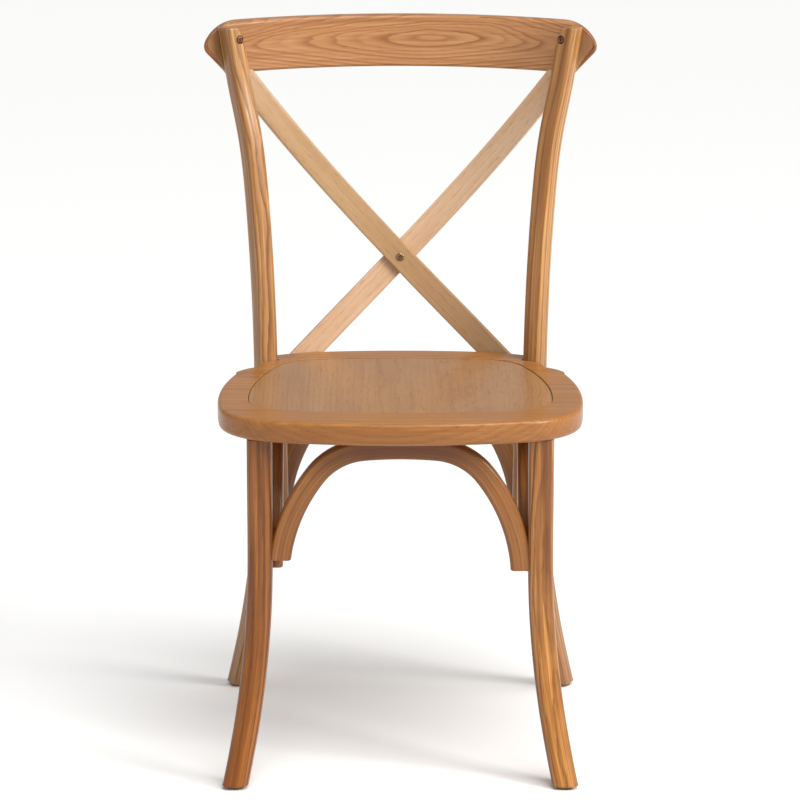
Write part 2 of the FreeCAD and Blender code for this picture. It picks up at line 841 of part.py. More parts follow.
arch_places = {
    "front_arch": Placement(Vector(0, size("front_leg_y"), 0), Rotation()),
    "rear_arch": Placement(Vector(0, post_centre_y, 0), Rotation()),
}
side_arch_y = (size("front_leg_y") + size("front_leg_width") / 2 + post_centre_y - half_depth) / 2
for side, word in ((-1, "left"), (1, "right")):
    quarter = Rotation(Vector(0, 0, 1), 90)
    arch_places[f"side_arch_{word}"] = Placement(
        across(side, size("side_arch_x"), side_arch_y), quarter
    )
side_foot = size("side_arch_foot")
rear_foot = size("rear_arch_foot")
arch_shapes = {
    "front_arch": ("front_arch_span", size("front_arch_left_foot"), size("front_arch_right_foot")),
    "rear_arch": ("rear_arch_span", rear_foot, rear_foot),
    "side_arch_left": ("side_arch_span", side_foot, side_foot),
    "side_arch_right": ("side_arch_span", side_foot, side_foot),
}
arches = {}
for name, (span, left_foot, right_foot) in arch_shapes.items():
    thickness = "side_arch_width" if name.startswith("side") else "arch_thickness"
    body = arch_body(name, size(span), left_foot, right_foot, thickness)
    body.Placement = arch_places[name]
    arches[name] = body

# Fasteners: turned once each, then placed where they work.
# Shares of a pan head's radius and height at its rim and on its dome.
rim_share = 0.35
dome_out = 0.62
dome_up = 0.85


def turned_screw(name, radius, head_radius, head_height, length):
    """A pan-head screw about Z: its head rests on Z = 0 and its shank runs down."""
    body = new_body(name)
    sketch = body_sketch(body, f"{name}_profile", "XZ_Plane")
    shank, head, rise, reach = size(radius), size(head_radius), size(head_height), size(length)
    rim = Vector(head, rise * rim_share, 0)
    dome = Vector(head * dome_out, rise * dome_up, 0)
    sketch.addGeometry(Part.Arc(Vector(0, rise, 0), dome, rim))
    outline_points = [
        rim,
        Vector(head, 0, 0),
        Vector(shank, 0, 0),
        Vector(shank, -reach + shank * 1.5, 0),
        Vector(0, -reach, 0),
        Vector(0, rise, 0),
    ]
    for start, end in zip(outline_points, outline_points[1:]):
        sketch.addGeometry(Part.LineSegment(start, end))
    turned = body.newObject("PartDesign::Revolution", f"{name}_turned")
    turned.Profile = sketch
    turned.ReferenceAxis = (sketch, ["V_Axis"])
    turned.Angle = 360
    return body


def placed_group(node, master, places):
    """Copies of one turned piece at several places, as one sub-part."""
    doc.recompute()
    copies = []
    for place in places:
        copy = master.Shape.copy()
        copy.Placement = place
        copies.append(copy)
    group = doc.addObject("Part::Feature", node)
    group.Shape = Part.makeCompound(copies)
    publish(node, group)
    return group


def bore(name, point, direction, radius, depth):
    """A round tool from a point along a direction, its radius and depth being formulas."""
    return cylinder(name, radius, depth, pointing(point, direction))


def fix(node, master, spots, radius, head, length):
    """Place a group of fasteners and make tools for the holes and counterbores they need."""
    places = []
    tools = {"clearance": [], "pilot": [], "sink": []}
    for i, (point, direction) in enumerate(spots):
        places.append(pointing(point, direction * -1))
        tools["clearance"].append(
            bore(f"{node}_clearance_{i}", point, direction, f"{radius} + hole_clearance", length)
        )
        tools["pilot"].append(bore(f"{node}_pilot_{i}", point, direction, radius, length))
        tools["sink"].append(
            bore(f"{node}_sink_{i}", point, direction * -1, f"{head} + 2 * hole_clearance", "driver_reach")
        )
    placed_group(node, master, places)
    return tools


def front_core(side):
    """Centre of a front leg where it still stands upright."""
    return across(side, size("front_leg_x"), size("front_leg_y"), underside)


def at_height(curve, height):
    """Point of a rising curve at a height."""
    low, high = curve.FirstParameter, curve.LastParameter
    for _ in range(halvings):
        middle = (low + high) / 2
        if curve.value(middle).z < height:
            low = middle
        else:
            high = middle
    return curve.value(low)


screw_cells = ("screw_radius", "screw_head_radius", "screw_head_height")
crest_screw = turned_screw("crest_screw_turned", *screw_cells, "crest_screw_length")
crossing_screw = turned_screw("crossing_screw_turned", *screw_cells, "crossing_screw_length")
slat_screw = turned_screw("slat_screw_turned", *screw_cells, "slat_screw_length")
arch_screw = turned_screw("arch_screw_turned", *screw_cells, "arch_screw_length")
bolt_cells = ("bolt_radius", "bolt_head_radius", "bolt_head_height")
seat_bolt = turned_screw("seat_bolt_turned", *bolt_cells, "seat_bolt_length")

crest_spots = []
for side in (-1, 1):
    centre = at_height(post_splines[side], rail_top - size("crest_screw_drop"))
    centre = centre + inward(side) * size("crest_screw_inward")
    back = outward_normal(side)
    crest_spots.append((centre - back * (half_depth - size("screw_sink")), back))
crest_tools = fix(
    "crest_screws", crest_screw, crest_spots, "screw_radius", "screw_head_radius",
    "crest_screw_length",
)

crossing = slat_line(crossing_share)
crossing_front = Vector(
    0, back_face(0, crossing.z) - size("slat_thickness") / 2, crossing.z
)
crossing_tools = fix(
    "crossing_screw", crossing_screw, [(crossing_front, Vector(0, 1, 0))], "screw_radius",
    "screw_head_radius", "crossing_screw_length",
)

slat_screw_share = 0.985
slat_spots = []
for side in (-1, 1):
    foot = slat_line(slat_screw_share)
    back = outward_normal(side)
    on_back = across(side, foot.x, back_face(foot.x, foot.z) + size("slat_thickness") / back.y, foot.z)
    slat_spots.append((on_back, back * -1))
slat_tools = fix(
    "slat_foot_screws", slat_screw, slat_spots, "screw_radius", "screw_head_radius",
    "slat_screw_length",
)

end_spots = []
top_spots = []
for name, (span, left_foot, right_foot) in arch_shapes.items():
    (crown_z, _), _, (limb_x, limb_z) = arch_bows(size(span))
    place = arch_places[name]
    sideways = name.startswith("side")
    rise = size("side_screw_rise") if sideways else size("arch_screw_rise")
    for side, foot in ((-1, left_foot), (1, right_foot)):
        height = foot + rise
        limb = size("arch_limb_bow") + size("screw_sink")
        inner_x = limb_x + math.sqrt(limb**2 - (height - limb_z) ** 2)
        outward = place.Rotation.multVec(Vector(side, 0, 0))
        head = place.multVec(across(side, inner_x, 0, height))
        if sideways:
            # The side arches stand inside the legs, so their end screws lean out to the legs' cores.
            hand = 1 if head.x > 0 else -1
            core = front_core(hand) if outward.y < 0 else at_height(post_splines[hand], height)
            lean = math.radians(size("post_turn"))
            head.x = core.x - hand * abs(core.y - head.y) * math.tan(lean)
            outward = Vector(hand * math.sin(lean), outward.y * math.cos(lean), 0)
        end_spots.append((head, outward))
        spread = size("arch_screw_spread")
        crown = size("arch_crown_bow") + size("screw_sink")
        top = crown_z + math.sqrt(crown**2 - spread**2)
        top_spots.append((place.multVec(across(side, spread, 0, top)), Vector(0, 0, 1)))
end_tools = fix(
    "arch_end_screws", arch_screw, end_spots, "screw_radius", "screw_head_radius",
    "arch_screw_length",
)
top_tools = fix(
    "arch_top_screws", arch_screw, top_spots, "screw_radius", "screw_head_radius",
    "arch_screw_length",
)

bolt_spots = []
washer_places = []
washer_seats = []
for side in (-1, 1):
    height = underside + size("seat_bolt_rise")
    centre = at_height(post_splines[side], height)
    back = outward_normal(side)
    face = centre + back * (half_depth - size("washer_seat"))
    washer_places.append(pointing(face, back))
    washer_seats.append(
        bore(f"washer_seat_{side + 1}", face, back, "washer_radius + hole_clearance", "driver_reach")
    )
    bolt_spots.append((face + back * size("washer_thickness"), back * -1))
bolt_tools = fix(
    "seat_bolts", seat_bolt, bolt_spots, "bolt_radius", "bolt_head_radius",
    "seat_bolt_length",
)
washer = new_body("washer_body")
washer_ring = body_sketch(washer, "washer_ring", "XY_Plane")
for radius in (size("washer_radius"), size("bolt_radius") + size("hole_clearance")):
    washer_ring.addGeometry(Part.Circle(Vector(), Vector(0, 0, 1), radius))
pad(washer, "washer_pad", washer_ring, Length="washer_thickness")
placed_group("bolt_washers", washer, washer_places)

# Floor glides: a rounded disc under each foot, held by a nail.
glide = new_body("glide_body")
glide_disc = body_sketch(glide, "glide_disc", "XY_Plane")
glide_disc.addGeometry(Part.Circle(Vector(), Vector(0, 0, 1), size("glide_radius")))
disc = pad(glide, "glide_pad", glide_disc, Length="glide_height")
nail_hole = body_sketch(glide, "nail_hole", "XY_Plane")
nail_hole.addGeometry(Part.Circle(Vector(), Vector(0, 0, 1), size("nail_radius")))
pocket(glide, "nail_hole_cut", nail_hole, reversed_way=True, Length="glide_height")
head_sink = body_sketch(glide, "nail_head_sink", "XY_Plane")
head_sink.addGeometry(Part.Circle(Vector(), Vector(0, 0, 1), size("nail_head_radius")))
sunk = pocket(
    glide, "nail_head_cut", head_sink, reversed_way=True, Length="nail_head_height + seating"
)
rim = size("glide_radius")
round_edges(
    glide, "glide_rim", sunk,
    lambda e: level_at(e, 0) and e.BoundBox.XMax > rim - 0.1, "glide_height / 3",
)
nail = new_body("glide_nail_body")
nail_profile = body_sketch(nail, "glide_nail_profile", "XZ_Plane")
nail_points = [
    Vector(0, size("seating"), 0),
    Vector(size("nail_head_radius"), size("seating"), 0),
    Vector(size("nail_head_radius"), size("seating") + size("nail_head_height"), 0),
    Vector(size("nail_radius"), size("seating") + size("nail_head_height"), 0),
    Vector(size("nail_radius"), size("nail_length") - 2 * size("nail_radius"), 0),
    Vector(0, size("nail_length"), 0),
]
for start, end in zip(nail_points, nail_points[1:] + nail_points[:1]):
    nail_profile.addGeometry(Part.LineSegment(start, end))
nail_turned = nail.newObject("PartDesign::Revolution", "glide_nail_turned")
nail_turned.Profile = nail_profile
nail_turned.ReferenceAxis = (nail_profile, ["V_Axis"])
nail_turned.Angle = 360
doc.recompute()
foot_places = []
nail_tools = []
for stick in [*legs.values(), *posts.values()]:
    sole = min(stick.Shape.Faces, key=lambda face: face.CenterOfMass.z)
    middle = sole.CenterOfMass
    foot_places.append(Placement(Vector(middle.x, middle.y, 0), Rotation()))
    nail_tools.append(
        bore(f"nail_pilot_{len(nail_tools)}", Vector(middle.x, middle.y, 0), Vector(0, 0, 1),
             "nail_radius", "nail_length")
    )
placed_group("floor_glides", glide, foot_places)
placed_group("glide_nails", nail, foot_places)

# A long bevel narrows each post's inner side above the crest screw.
snips = {}
overshoot = 4.0
slope = size("snip_height") / size("snip_width")
for side in (-1, 1):
    top = at_height(post_splines[side], post_top)
    along = top - at_height(post_splines[side], post_top - size("snip_height"))
    wedge = new_body(f"snip_body_{side + 1}")
    triangle = body_sketch(wedge, f"snip_outline_{side + 1}", "XY_Plane")
    corners = [
        Vector(half_width - size("snip_width") - overshoot / slope, overshoot, 0),
        Vector(half_width + overshoot, overshoot, 0),
        Vector(half_width + overshoot, -size("snip_height") - overshoot * slope, 0),
    ]
    for start, end in zip(corners, corners[1:] + corners[:1]):
        triangle.addGeometry(Part.LineSegment(start, end))
    snip = pad(wedge, f"snip_pad_{side + 1}", triangle, Length="2 * post_depth")
    snip.Midplane = True
    wedge.Placement = Placement(top, Rotation(inward(side), along, Vector(), "YXZ"))
    snips[side] = wedge

# Joints: each piece is cut by what is let into it or drives through it.
tenon_tools = []
for side in (-1, 1):
    mouth = across(side, size("front_leg_x"), size("front_leg_y"), underside - size("tenon_root"))
    tenon_tools.append(
        bore(f"mortise_{side + 1}", mouth, Vector(0, 0, 1),
             "tenon_radius + hole_clearance / 2", "tenon_length + tenon_root + seating")
    )
seat_cutters = gather(
    "seat_cutters",
    tenon_tools + list(posts.values()) + bolt_tools["pilot"] + top_tools["pilot"],
)
seat_board = join("Part::Cut", "seat_board_cut", seat, seat_cutters)
publish("seat_board", seat_board)

rail_cutters = gather("rail_cutters", list(slats.values()) + crest_tools["pilot"])
publish("crest_rail", join("Part::Cut", "crest_rail_cut", rail_rounded, rail_cutters))

crossing_holes = {
    -1: crossing_tools["clearance"] + crossing_tools["sink"],
    1: crossing_tools["pilot"] + [trimmed_slats[-1]],
}
for layer, word in ((-1, "front"), (1, "rear")):
    holes = crossing_holes[layer] + slat_tools["clearance"] + slat_tools["sink"] + crest_tools["pilot"]
    drilled = gather(f"cross_slat_{word}_holes", holes)
    publish(
        f"cross_slat_{word}",
        join("Part::Cut", f"cross_slat_{word}_cut", trimmed_slats[layer], drilled),
    )

for side, word in ((-1, "left"), (1, "right")):
    i = (side + 1) // 2
    let_in = [trimmed_slats[-1], trimmed_slats[1], rail_rounded]
    holes = [
        crest_tools["clearance"][i], crest_tools["sink"][i], slat_tools["pilot"][i],
        bolt_tools["clearance"][i], washer_seats[i], nail_tools[2 + i], snips[side],
    ]
    ends = end_tools["pilot"]
    cutter = gather(f"rear_post_{word}_cutters", let_in + holes + ends)
    publish(f"rear_post_{word}", join("Part::Cut", f"rear_post_{word}_cut", posts[side], cutter))
    cutter = gather(f"front_leg_{word}_cutters", [nail_tools[i]] + ends)
    publish(f"front_leg_{word}", join("Part::Cut", f"front_leg_{word}_cut", legs[side], cutter))

uprights = list(legs.values()) + list(posts.values())
for name, body in arches.items():
    screws = end_tools["clearance"] + end_tools["sink"] + top_tools["clearance"] + top_tools["sink"]
    cutter = gather(f"{name}_cutters", uprights + screws)
    publish(name, join("Part::Cut", f"{name}_cut", body, cutter))

doc.recompute()
for item in doc.Objects:
    troubled = [state for state in item.State if state in ("Invalid", "Error")]
    if troubled:
        raise RuntimeError(f"{item.Label} is in trouble: {troubled}")
os.makedirs("parts", exist_ok=True)
for node, source in parts.items():
    shape = source.Shape
    if shape.isNull() or not shape.isValid():
        raise RuntimeError(f"{node} has no valid shape")
    shape.exportStep(f"parts/{node}.step")
    print(node, len(shape.Solids), round(shape.Volume))
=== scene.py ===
from math import pi, radians
import bmesh
import bpy
import numpy as np
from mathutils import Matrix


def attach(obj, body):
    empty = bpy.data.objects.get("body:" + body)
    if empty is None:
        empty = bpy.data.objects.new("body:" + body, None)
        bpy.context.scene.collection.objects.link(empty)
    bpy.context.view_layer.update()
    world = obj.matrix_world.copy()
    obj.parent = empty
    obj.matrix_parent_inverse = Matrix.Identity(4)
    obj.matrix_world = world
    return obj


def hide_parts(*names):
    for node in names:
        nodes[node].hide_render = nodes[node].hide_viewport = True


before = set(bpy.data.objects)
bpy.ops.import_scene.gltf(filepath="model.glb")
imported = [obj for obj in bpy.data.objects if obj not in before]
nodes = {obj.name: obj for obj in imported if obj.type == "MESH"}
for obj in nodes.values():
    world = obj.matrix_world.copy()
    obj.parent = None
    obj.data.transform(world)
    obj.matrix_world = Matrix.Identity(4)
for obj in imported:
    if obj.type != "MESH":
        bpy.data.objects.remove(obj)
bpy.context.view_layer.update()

crease = radians(35)                                     # edges that turn more than this stay sharp
print("frame loaded:", len(nodes), "nodes")


def layMesh(name, points, faces, grain):
    # points and grain are (n, 3) arrays, faces a list of index arrays with 3 or 4 columns; the sum
    # of a . (b x c) over all triangles is six times the volume, and below 0 when inside out
    flat = np.concatenate([f.ravel() for f in faces]).astype(np.int32)
    sides = np.concatenate([np.full(len(f), f.shape[1]) for f in faces])
    tris = np.concatenate([f[:, :3] for f in faces] + [f[:, [0, 2, 3]] for f in faces if f.shape[1] == 4])
    a, b, c = points[tris[:, 0]], points[tris[:, 1]], points[tris[:, 2]]
    if np.einsum("ij,ij->", a, np.cross(b, c)) < 0:   # inside out: turn every face round
        faces = [f[:, ::-1] for f in faces]
        flat = np.concatenate([f.ravel() for f in faces]).astype(np.int32)
    mesh = bpy.data.meshes.new(name)
    mesh.vertices.add(len(points))
    mesh.vertices.foreach_set("co", np.ascontiguousarray(points, dtype=np.float32).ravel())
    mesh.loops.add(len(flat))
    mesh.loops.foreach_set("vertex_index", flat)
    mesh.polygons.add(len(sides))
    mesh.polygons.foreach_set("loop_start", np.concatenate([[0], np.cumsum(sides)[:-1]]).astype(np.int32))
    mesh.polygons.foreach_set("use_smooth", np.ones(len(sides), dtype=bool))
    mesh.update(calc_edges=True)
    layer = mesh.attributes.new("grain", "FLOAT_VECTOR", "POINT")
    layer.data.foreach_set("vector", np.ascontiguousarray(grain, dtype=np.float32).ravel())
    mesh.validate()
    mesh.set_sharp_from_angle(angle=crease)
    piece = bpy.data.objects.new(name, mesh)
    bpy.context.scene.collection.objects.link(piece)
    return piece


def tubeFaces(rings, around, start=0):
    # quads between neighbouring rings of a closed tube, and a fan to a pole at each end
    i, j = np.meshgrid(np.arange(rings - 1), np.arange(around), indexing="ij")
    k = (j + 1) % around
    quads = np.stack([i * around + j, i * around + k, (i + 1) * around + k, (i + 1) * around + j], -1)
    j = np.arange(around)
    k = (j + 1) % around
    last = (rings - 1) * around
    poles = rings * around + start
    low = np.stack([k + start, j + start, np.full(around, poles)], -1)
    high = np.stack([last + j + start, last + k + start, np.full(around, poles + 1)], -1)
    return [quads.reshape(-1, 4) + start, low, high]


def closedTube(name, rings, grain):
    # rings and grain are (along, around, 3) grids; the two poles are the means of the end rings
    points = np.concatenate([rings.reshape(-1, 3), rings[:1].mean(1), rings[-1:].mean(1)])
    layer = np.concatenate([grain.reshape(-1, 3), grain[:1].mean(1), grain[-1:].mean(1)])
    return layMesh(name, points, tubeFaces(*rings.shape[:2]), layer)


def smoothLine(points, count):
    # natural cubic spline through the points, chord lengths as its parameter, evenly sampled
    p = np.asarray(points, dtype=float)
    h = np.linalg.norm(np.diff(p, axis=0), axis=1)
    t = np.concatenate([[0], np.cumsum(h)])
    n = len(p)
    m = np.eye(n)
    r = np.zeros_like(p)
    k = np.arange(1, n - 1)
    m[k, k - 1], m[k, k], m[k, k + 1] = h[:-1], 2 * (h[:-1] + h[1:]), h[1:]
    slope = np.diff(p, axis=0) / h[:, None]
    r[1:-1] = 6 * np.diff(slope, axis=0)
    curve = np.linalg.solve(m, r)
    s = np.linspace(0, t[-1], count)
    i = np.clip(np.searchsorted(t, s) - 1, 0, n - 2)
    a = ((t[i + 1] - s) / h[i])[:, None]
    b = 1 - a
    bend = ((a**3 - a) * curve[i] + (b**3 - b) * curve[i + 1]) * (h[i] ** 2)[:, None] / 6
    return a * p[i] + b * p[i + 1] + bend


def roundedSection(width, depth, corner, steps=9, flat=4):
    # rounded rectangle about its middle: a quarter circle at each corner, flats split evenly
    turn = np.linspace(0, pi / 2, steps)
    quarter = np.stack([np.cos(turn), np.sin(turn)], -1) * corner
    w, d = width / 2 - corner, depth / 2 - corner
    arcs = []
    for q, middle in enumerate([(w, d), (-w, d), (-w, -d), (w, -d)]):
        c, s = round(np.cos(q * pi / 2)), round(np.sin(q * pi / 2))
        arcs.append(quarter @ np.array([[c, s], [-s, c]]) + middle)
    share = np.linspace(0, 1, flat + 2)[1:-1, None]
    flats = [a[-1] + (b[0] - a[-1]) * share for a, b in zip(arcs, arcs[1:] + arcs[:1])]
    return np.concatenate([part for pair in zip(arcs, flats) for part in pair])


def carrySection(line, sideways, section, ease=0.05, soft=0.0015):
    # P(v, u) = C(v) + A(v) a(u) + B(v) b(u); A is the sideways direction made square to the
    # line, B is square to both. Near each end the rings lean from square to level, by a share of
    # 3 s^2 - 2 s^3, where s rises from 0 to 1 over the ease
    t = np.gradient(line, axis=0)
    t /= np.linalg.norm(t, axis=1)[:, None]
    side = np.broadcast_to(np.asarray(sideways, dtype=float), t.shape)
    a = side - (side * t).sum(1)[:, None] * t
    a /= np.linalg.norm(a, axis=1)[:, None]
    b = np.cross(t, a)
    along = np.concatenate([[0], np.cumsum(np.linalg.norm(np.diff(line, axis=0), axis=1))])
    section = np.broadcast_to(section, (len(line), *section.shape[-2:]))   # one row of points per ring
    off = a[:, None] * section[..., :1] + b[:, None] * section[..., 1:]
    rings = line[:, None] + off
    lean = np.zeros(rings.shape[:2])
    for end in (0, -1):
        near = np.clip(1 - np.abs(along - along[end]) / ease, 0, 1)
        share = near**2 * (3 - 2 * near)
        lean += share[:, None] * (line[:, None, 2] - rings[..., 2]) / t[:, None, 2]
    rings = rings + t[:, None] * lean[..., None]
    grain = np.concatenate([section, (along[:, None] + lean)[..., None]], -1)
    # the end edges are eased by a quarter circle: rings drawn in and moved outwards
    turn = np.linspace(0, pi / 2, 5)
    for end in (0, -1):
        middle = rings[end].mean(0)
        step = np.array([0, 0, np.sign(t[end, 2]) * (1 if end else -1)])
        reach = np.linalg.norm(rings[end] - middle, axis=1)[:, None]
        inward = (middle - rings[end]) / reach
        extra = np.stack([rings[end] - step * soft + inward * soft * (1 - np.cos(q)) + step * soft * np.sin(q)
                          for q in turn])
        marks = np.broadcast_to(grain[end], extra.shape)
        if end == 0:
            rings = np.concatenate([extra[::-1], rings[1:]])
            grain = np.concatenate([marks, grain[1:]])
        else:
            rings = np.concatenate([rings[:-1], extra])
            grain = np.concatenate([grain[:-1], marks])
    return rings, grain


def snippedSection(limit, width, depth, corner, keep):
    # rounded rectangle whose +x side is cut back to x = limit, one row per ring: out along the
    # flat and its corner, y = d - c + sqrt(c^2 - (x - w + c)^2), across the cut, and back
    w, d = width / 2, depth / 2
    x = keep + (limit[:, None] - keep) * np.sin(np.linspace(0, pi / 2, 16))
    y = d - corner + np.sqrt(corner**2 - np.clip(x - w + corner, 0, corner) ** 2)
    out = np.stack([x, y], -1)
    cross = np.linspace(1, -1, 9)[1:-1]
    facet = np.stack([limit[:, None] + 0 * cross, y[:, -1:] * cross], -1)
    a = np.linspace(0, pi / 2, 9)
    flat = np.linspace(keep, corner - w, 7)[1:-1]
    bend = np.stack([corner - w - corner * np.sin(a), corner - d - corner * np.cos(a)], -1)
    low = np.concatenate([np.stack([flat, 0 * flat - d], -1), bend])
    side = np.linspace(corner - d, d - corner, 6)[1:-1]
    rest = np.concatenate([low, np.stack([0 * side - w, side], -1), low[::-1] * (1, -1)])
    rest = np.broadcast_to(rest, (len(limit), *rest.shape))
    return np.concatenate([out, facet, out[:, ::-1] * (1, -1), rest], 1)


def weld(piece, gap=1e-6):
    # points that lie on each other become one, so folded seams are closed
    work = bmesh.new()
    work.from_mesh(piece.data)
    bmesh.ops.remove_doubles(work, verts=work.verts, dist=gap)
    bmesh.ops.recalc_face_normals(work, faces=work.faces)
    work.to_mesh(piece.data)
    work.free()
    piece.data.set_sharp_from_angle(angle=crease)


def axisFrame(direction):
    # two directions square to a unit direction and to each other
    k = np.asarray(direction, dtype=float)
    k = k / np.linalg.norm(k)
    i = np.cross(k, (0.0, 0.0, 1.0) if abs(k[2]) < 0.9 else (1.0, 0.0, 0.0))
    i /= np.linalg.norm(i)
    return i, np.cross(k, i), k


drive = {"arm": 0.0007, "reach": 0.0032, "soft": 0.0006, "depth": 0.0017}   # the recess in a screw head


def turnedGroup(name, profile, spots, around=40):
    # P = O + r(v) (i cos u + j sin u) + h(v, u) k for each spot (O, k); profile rows are
    # (r, h) or (r, h, dip), where dip says how deep a cross-shaped recess sinks the row; the
    # grain layer holds (r, h), for a finish that changes towards the rim
    u = np.linspace(0, 2 * pi, around, endpoint=False)
    r, h, dip = np.array([(*row, 0.0)[:3] for row in profile]).T
    x, y = r[:, None] * np.cos(u), r[:, None] * np.sin(u)
    arm = np.minimum(np.abs(x), np.abs(y))
    cross = np.clip(1.4 - arm / drive["arm"], 0, 1)
    cross = cross * np.clip((drive["reach"] - r[:, None]) / drive["soft"], 0, 1)
    z = h[:, None] - dip[:, None] * cross
    points, faces, count = [], [], 0
    for origin, direction in spots:
        i, j, k = axisFrame(direction)
        rings = np.asarray(origin) + x[..., None] * i + y[..., None] * j + z[..., None] * k
        points.append(np.concatenate([rings.reshape(-1, 3), rings[:1].mean(1), rings[-1:].mean(1)]))
        faces += tubeFaces(*rings.shape[:2], start=count)
        count += len(points[-1])
    marks = np.stack(np.broadcast_arrays(r[:, None], h[:, None], 0 * u), -1).reshape(-1, 3)
    marks = np.concatenate([marks, [(r[0], h[0], 0), (r[-1], h[-1], 0)]])
    return layMesh(name, np.concatenate(points), faces, np.tile(marks, (len(spots), 1)))


def readPoints(mesh):
    # the places of a mesh's points, as an (n, 3) array
    flat = np.empty(len(mesh.vertices) * 3, dtype=np.float32)
    mesh.vertices.foreach_get("co", flat)
    return flat.reshape(-1, 3)


def carryGrain(source, target):
    # the cut leaves no grain: kept points take their own back, new ones that of the nearest point.
    # A point's mark is x + k y + k^2 z in whole microns, so that equal places have equal marks
    known, asked = readPoints(source), readPoints(target)
    grain = np.empty(known.size, dtype=np.float32)
    source.attributes["grain"].data.foreach_get("vector", grain)
    weights = 4000037 ** np.arange(3) % 2**40
    knownMarks, askedMarks = [np.round(p * 1e6).astype(np.int64) @ weights for p in (known, asked)]
    order = np.argsort(knownMarks)
    found = order[np.clip(np.searchsorted(knownMarks[order], askedMarks), 0, len(order) - 1)]
    fresh = np.flatnonzero(np.abs(known[found] - asked).max(1) > 2e-6)
    found[fresh] = [np.argmin(((known - asked[i]) ** 2).sum(1)) for i in fresh]
    layer = target.attributes.get("grain") or target.attributes.new("grain", "FLOAT_VECTOR", "POINT")
    layer.data.foreach_set("vector", grain.reshape(-1, 3)[found].ravel())


def drill(piece, spots, radius, reach):
    # each hole is a round tool from its spot back along the driver's way; its cut is applied
    rows = [(radius * k, 0.0) for k in (0.02, 0.5, 1.0)]
    rows += [(radius * k, reach) for k in (1.0, 0.5, 0.02)]
    tool = turnedGroup(piece.name + "_drill", rows, spots, 48)
    cut = piece.modifiers.new("holes", "BOOLEAN")
    cut.operation, cut.object, cut.solver = "DIFFERENCE", tool, "EXACT"
    done = bpy.data.meshes.new_from_object(piece.evaluated_get(bpy.context.evaluated_depsgraph_get()))
    piece.modifiers.clear()
    carryGrain(piece.data, done)
    piece.data = done
    bpy.data.objects.remove(tool)
    done.set_sharp_from_angle(angle=crease)


def cutLevel(line, low, high, count=240):
    # the part of a rising line between two heights, sampled evenly by height
    z = np.linspace(low, high, count)
    return np.stack([np.interp(z, line[:, 2], line[:, 0]), np.interp(z, line[:, 2], line[:, 1]), z], -1)


woodLook = {
    "pale": (0.640, 0.350, 0.150),
    "body": (0.500, 0.232, 0.080),
    "line": (0.255, 0.088, 0.022),
    "pore": (0.165, 0.055, 0.014),
    "ringSpacing": 0.0042,
    "poreLength": 0.016,
    "roughness": 0.34,
    "coat": 0.16,
    "coatRoughness": 0.20,
    "specular": 0.34,
    "endShadeShare": 0.95,
}


class Nodes:
    # a short way to write node trees: each call adds a node, sets its sockets and links inputs
    def __init__(self, material):
        material.use_nodes = True
        self.tree = material.node_tree
        self.tree.nodes.clear()

    def add(self, kind, **given):
        # values named in_Something go to sockets, all others to the node itself
        node = self.tree.nodes.new(kind)
        for key, value in given.items():
            if key.startswith("in_"):
                self.feed(node.inputs[key[3:]], value)
            else:
                setattr(node, key, value)
        return node

    def feed(self, socket, value):
        # a link where the value is a socket, or else a plain number or colour
        if isinstance(value, bpy.types.NodeSocket):
            self.tree.links.new(value, socket)
        else:
            socket.default_value = value

    def math(self, operation, *values):
        # one step of arithmetic on numbers or sockets
        node = self.tree.nodes.new("ShaderNodeMath")
        node.operation = operation
        for socket, value in zip(node.inputs, values):
            self.feed(socket, value)
        return node.outputs[0]

    def noise(self, vector, scale, detail=3.0, rough=0.55):
        # soft noise about one half, at a place
        node = self.tree.nodes.new("ShaderNodeTexNoise")
        self.feed(node.inputs["Vector"], vector)
        node.inputs["Scale"].default_value = scale
        node.inputs["Detail"].default_value = detail
        node.inputs["Roughness"].default_value = rough
        return node.outputs["Fac"]

    def stretch(self, vector, scale, shift=(0, 0, 0)):
        # place x scale + shift, so that noise can be drawn out along the grain
        node = self.tree.nodes.new("ShaderNodeMapping")
        self.feed(node.inputs["Vector"], vector)
        node.inputs["Scale"].default_value = scale
        node.inputs["Location"].default_value = shift
        return node.outputs[0]

    def between(self, value, low, high, out=(0.0, 1.0)):
        # low to high is carried over to the two values of out, and held there beyond them
        node = self.tree.nodes.new("ShaderNodeMapRange")
        self.feed(node.inputs[0], value)
        for socket, number in zip(node.inputs[1:5], (low, high, *out)):
            socket.default_value = number
        return node.outputs[0]

    def blend(self, share, first, second):
        # colour = (1 - share) x first + share x second
        node = self.tree.nodes.new("ShaderNodeMix")
        node.data_type = "RGBA"
        self.feed(node.inputs[0], share)
        self.feed(node.inputs[6], (*first, 1) if isinstance(first, tuple) else first)
        self.feed(node.inputs[7], (*second, 1) if isinstance(second, tuple) else second)
        return node.outputs[2]


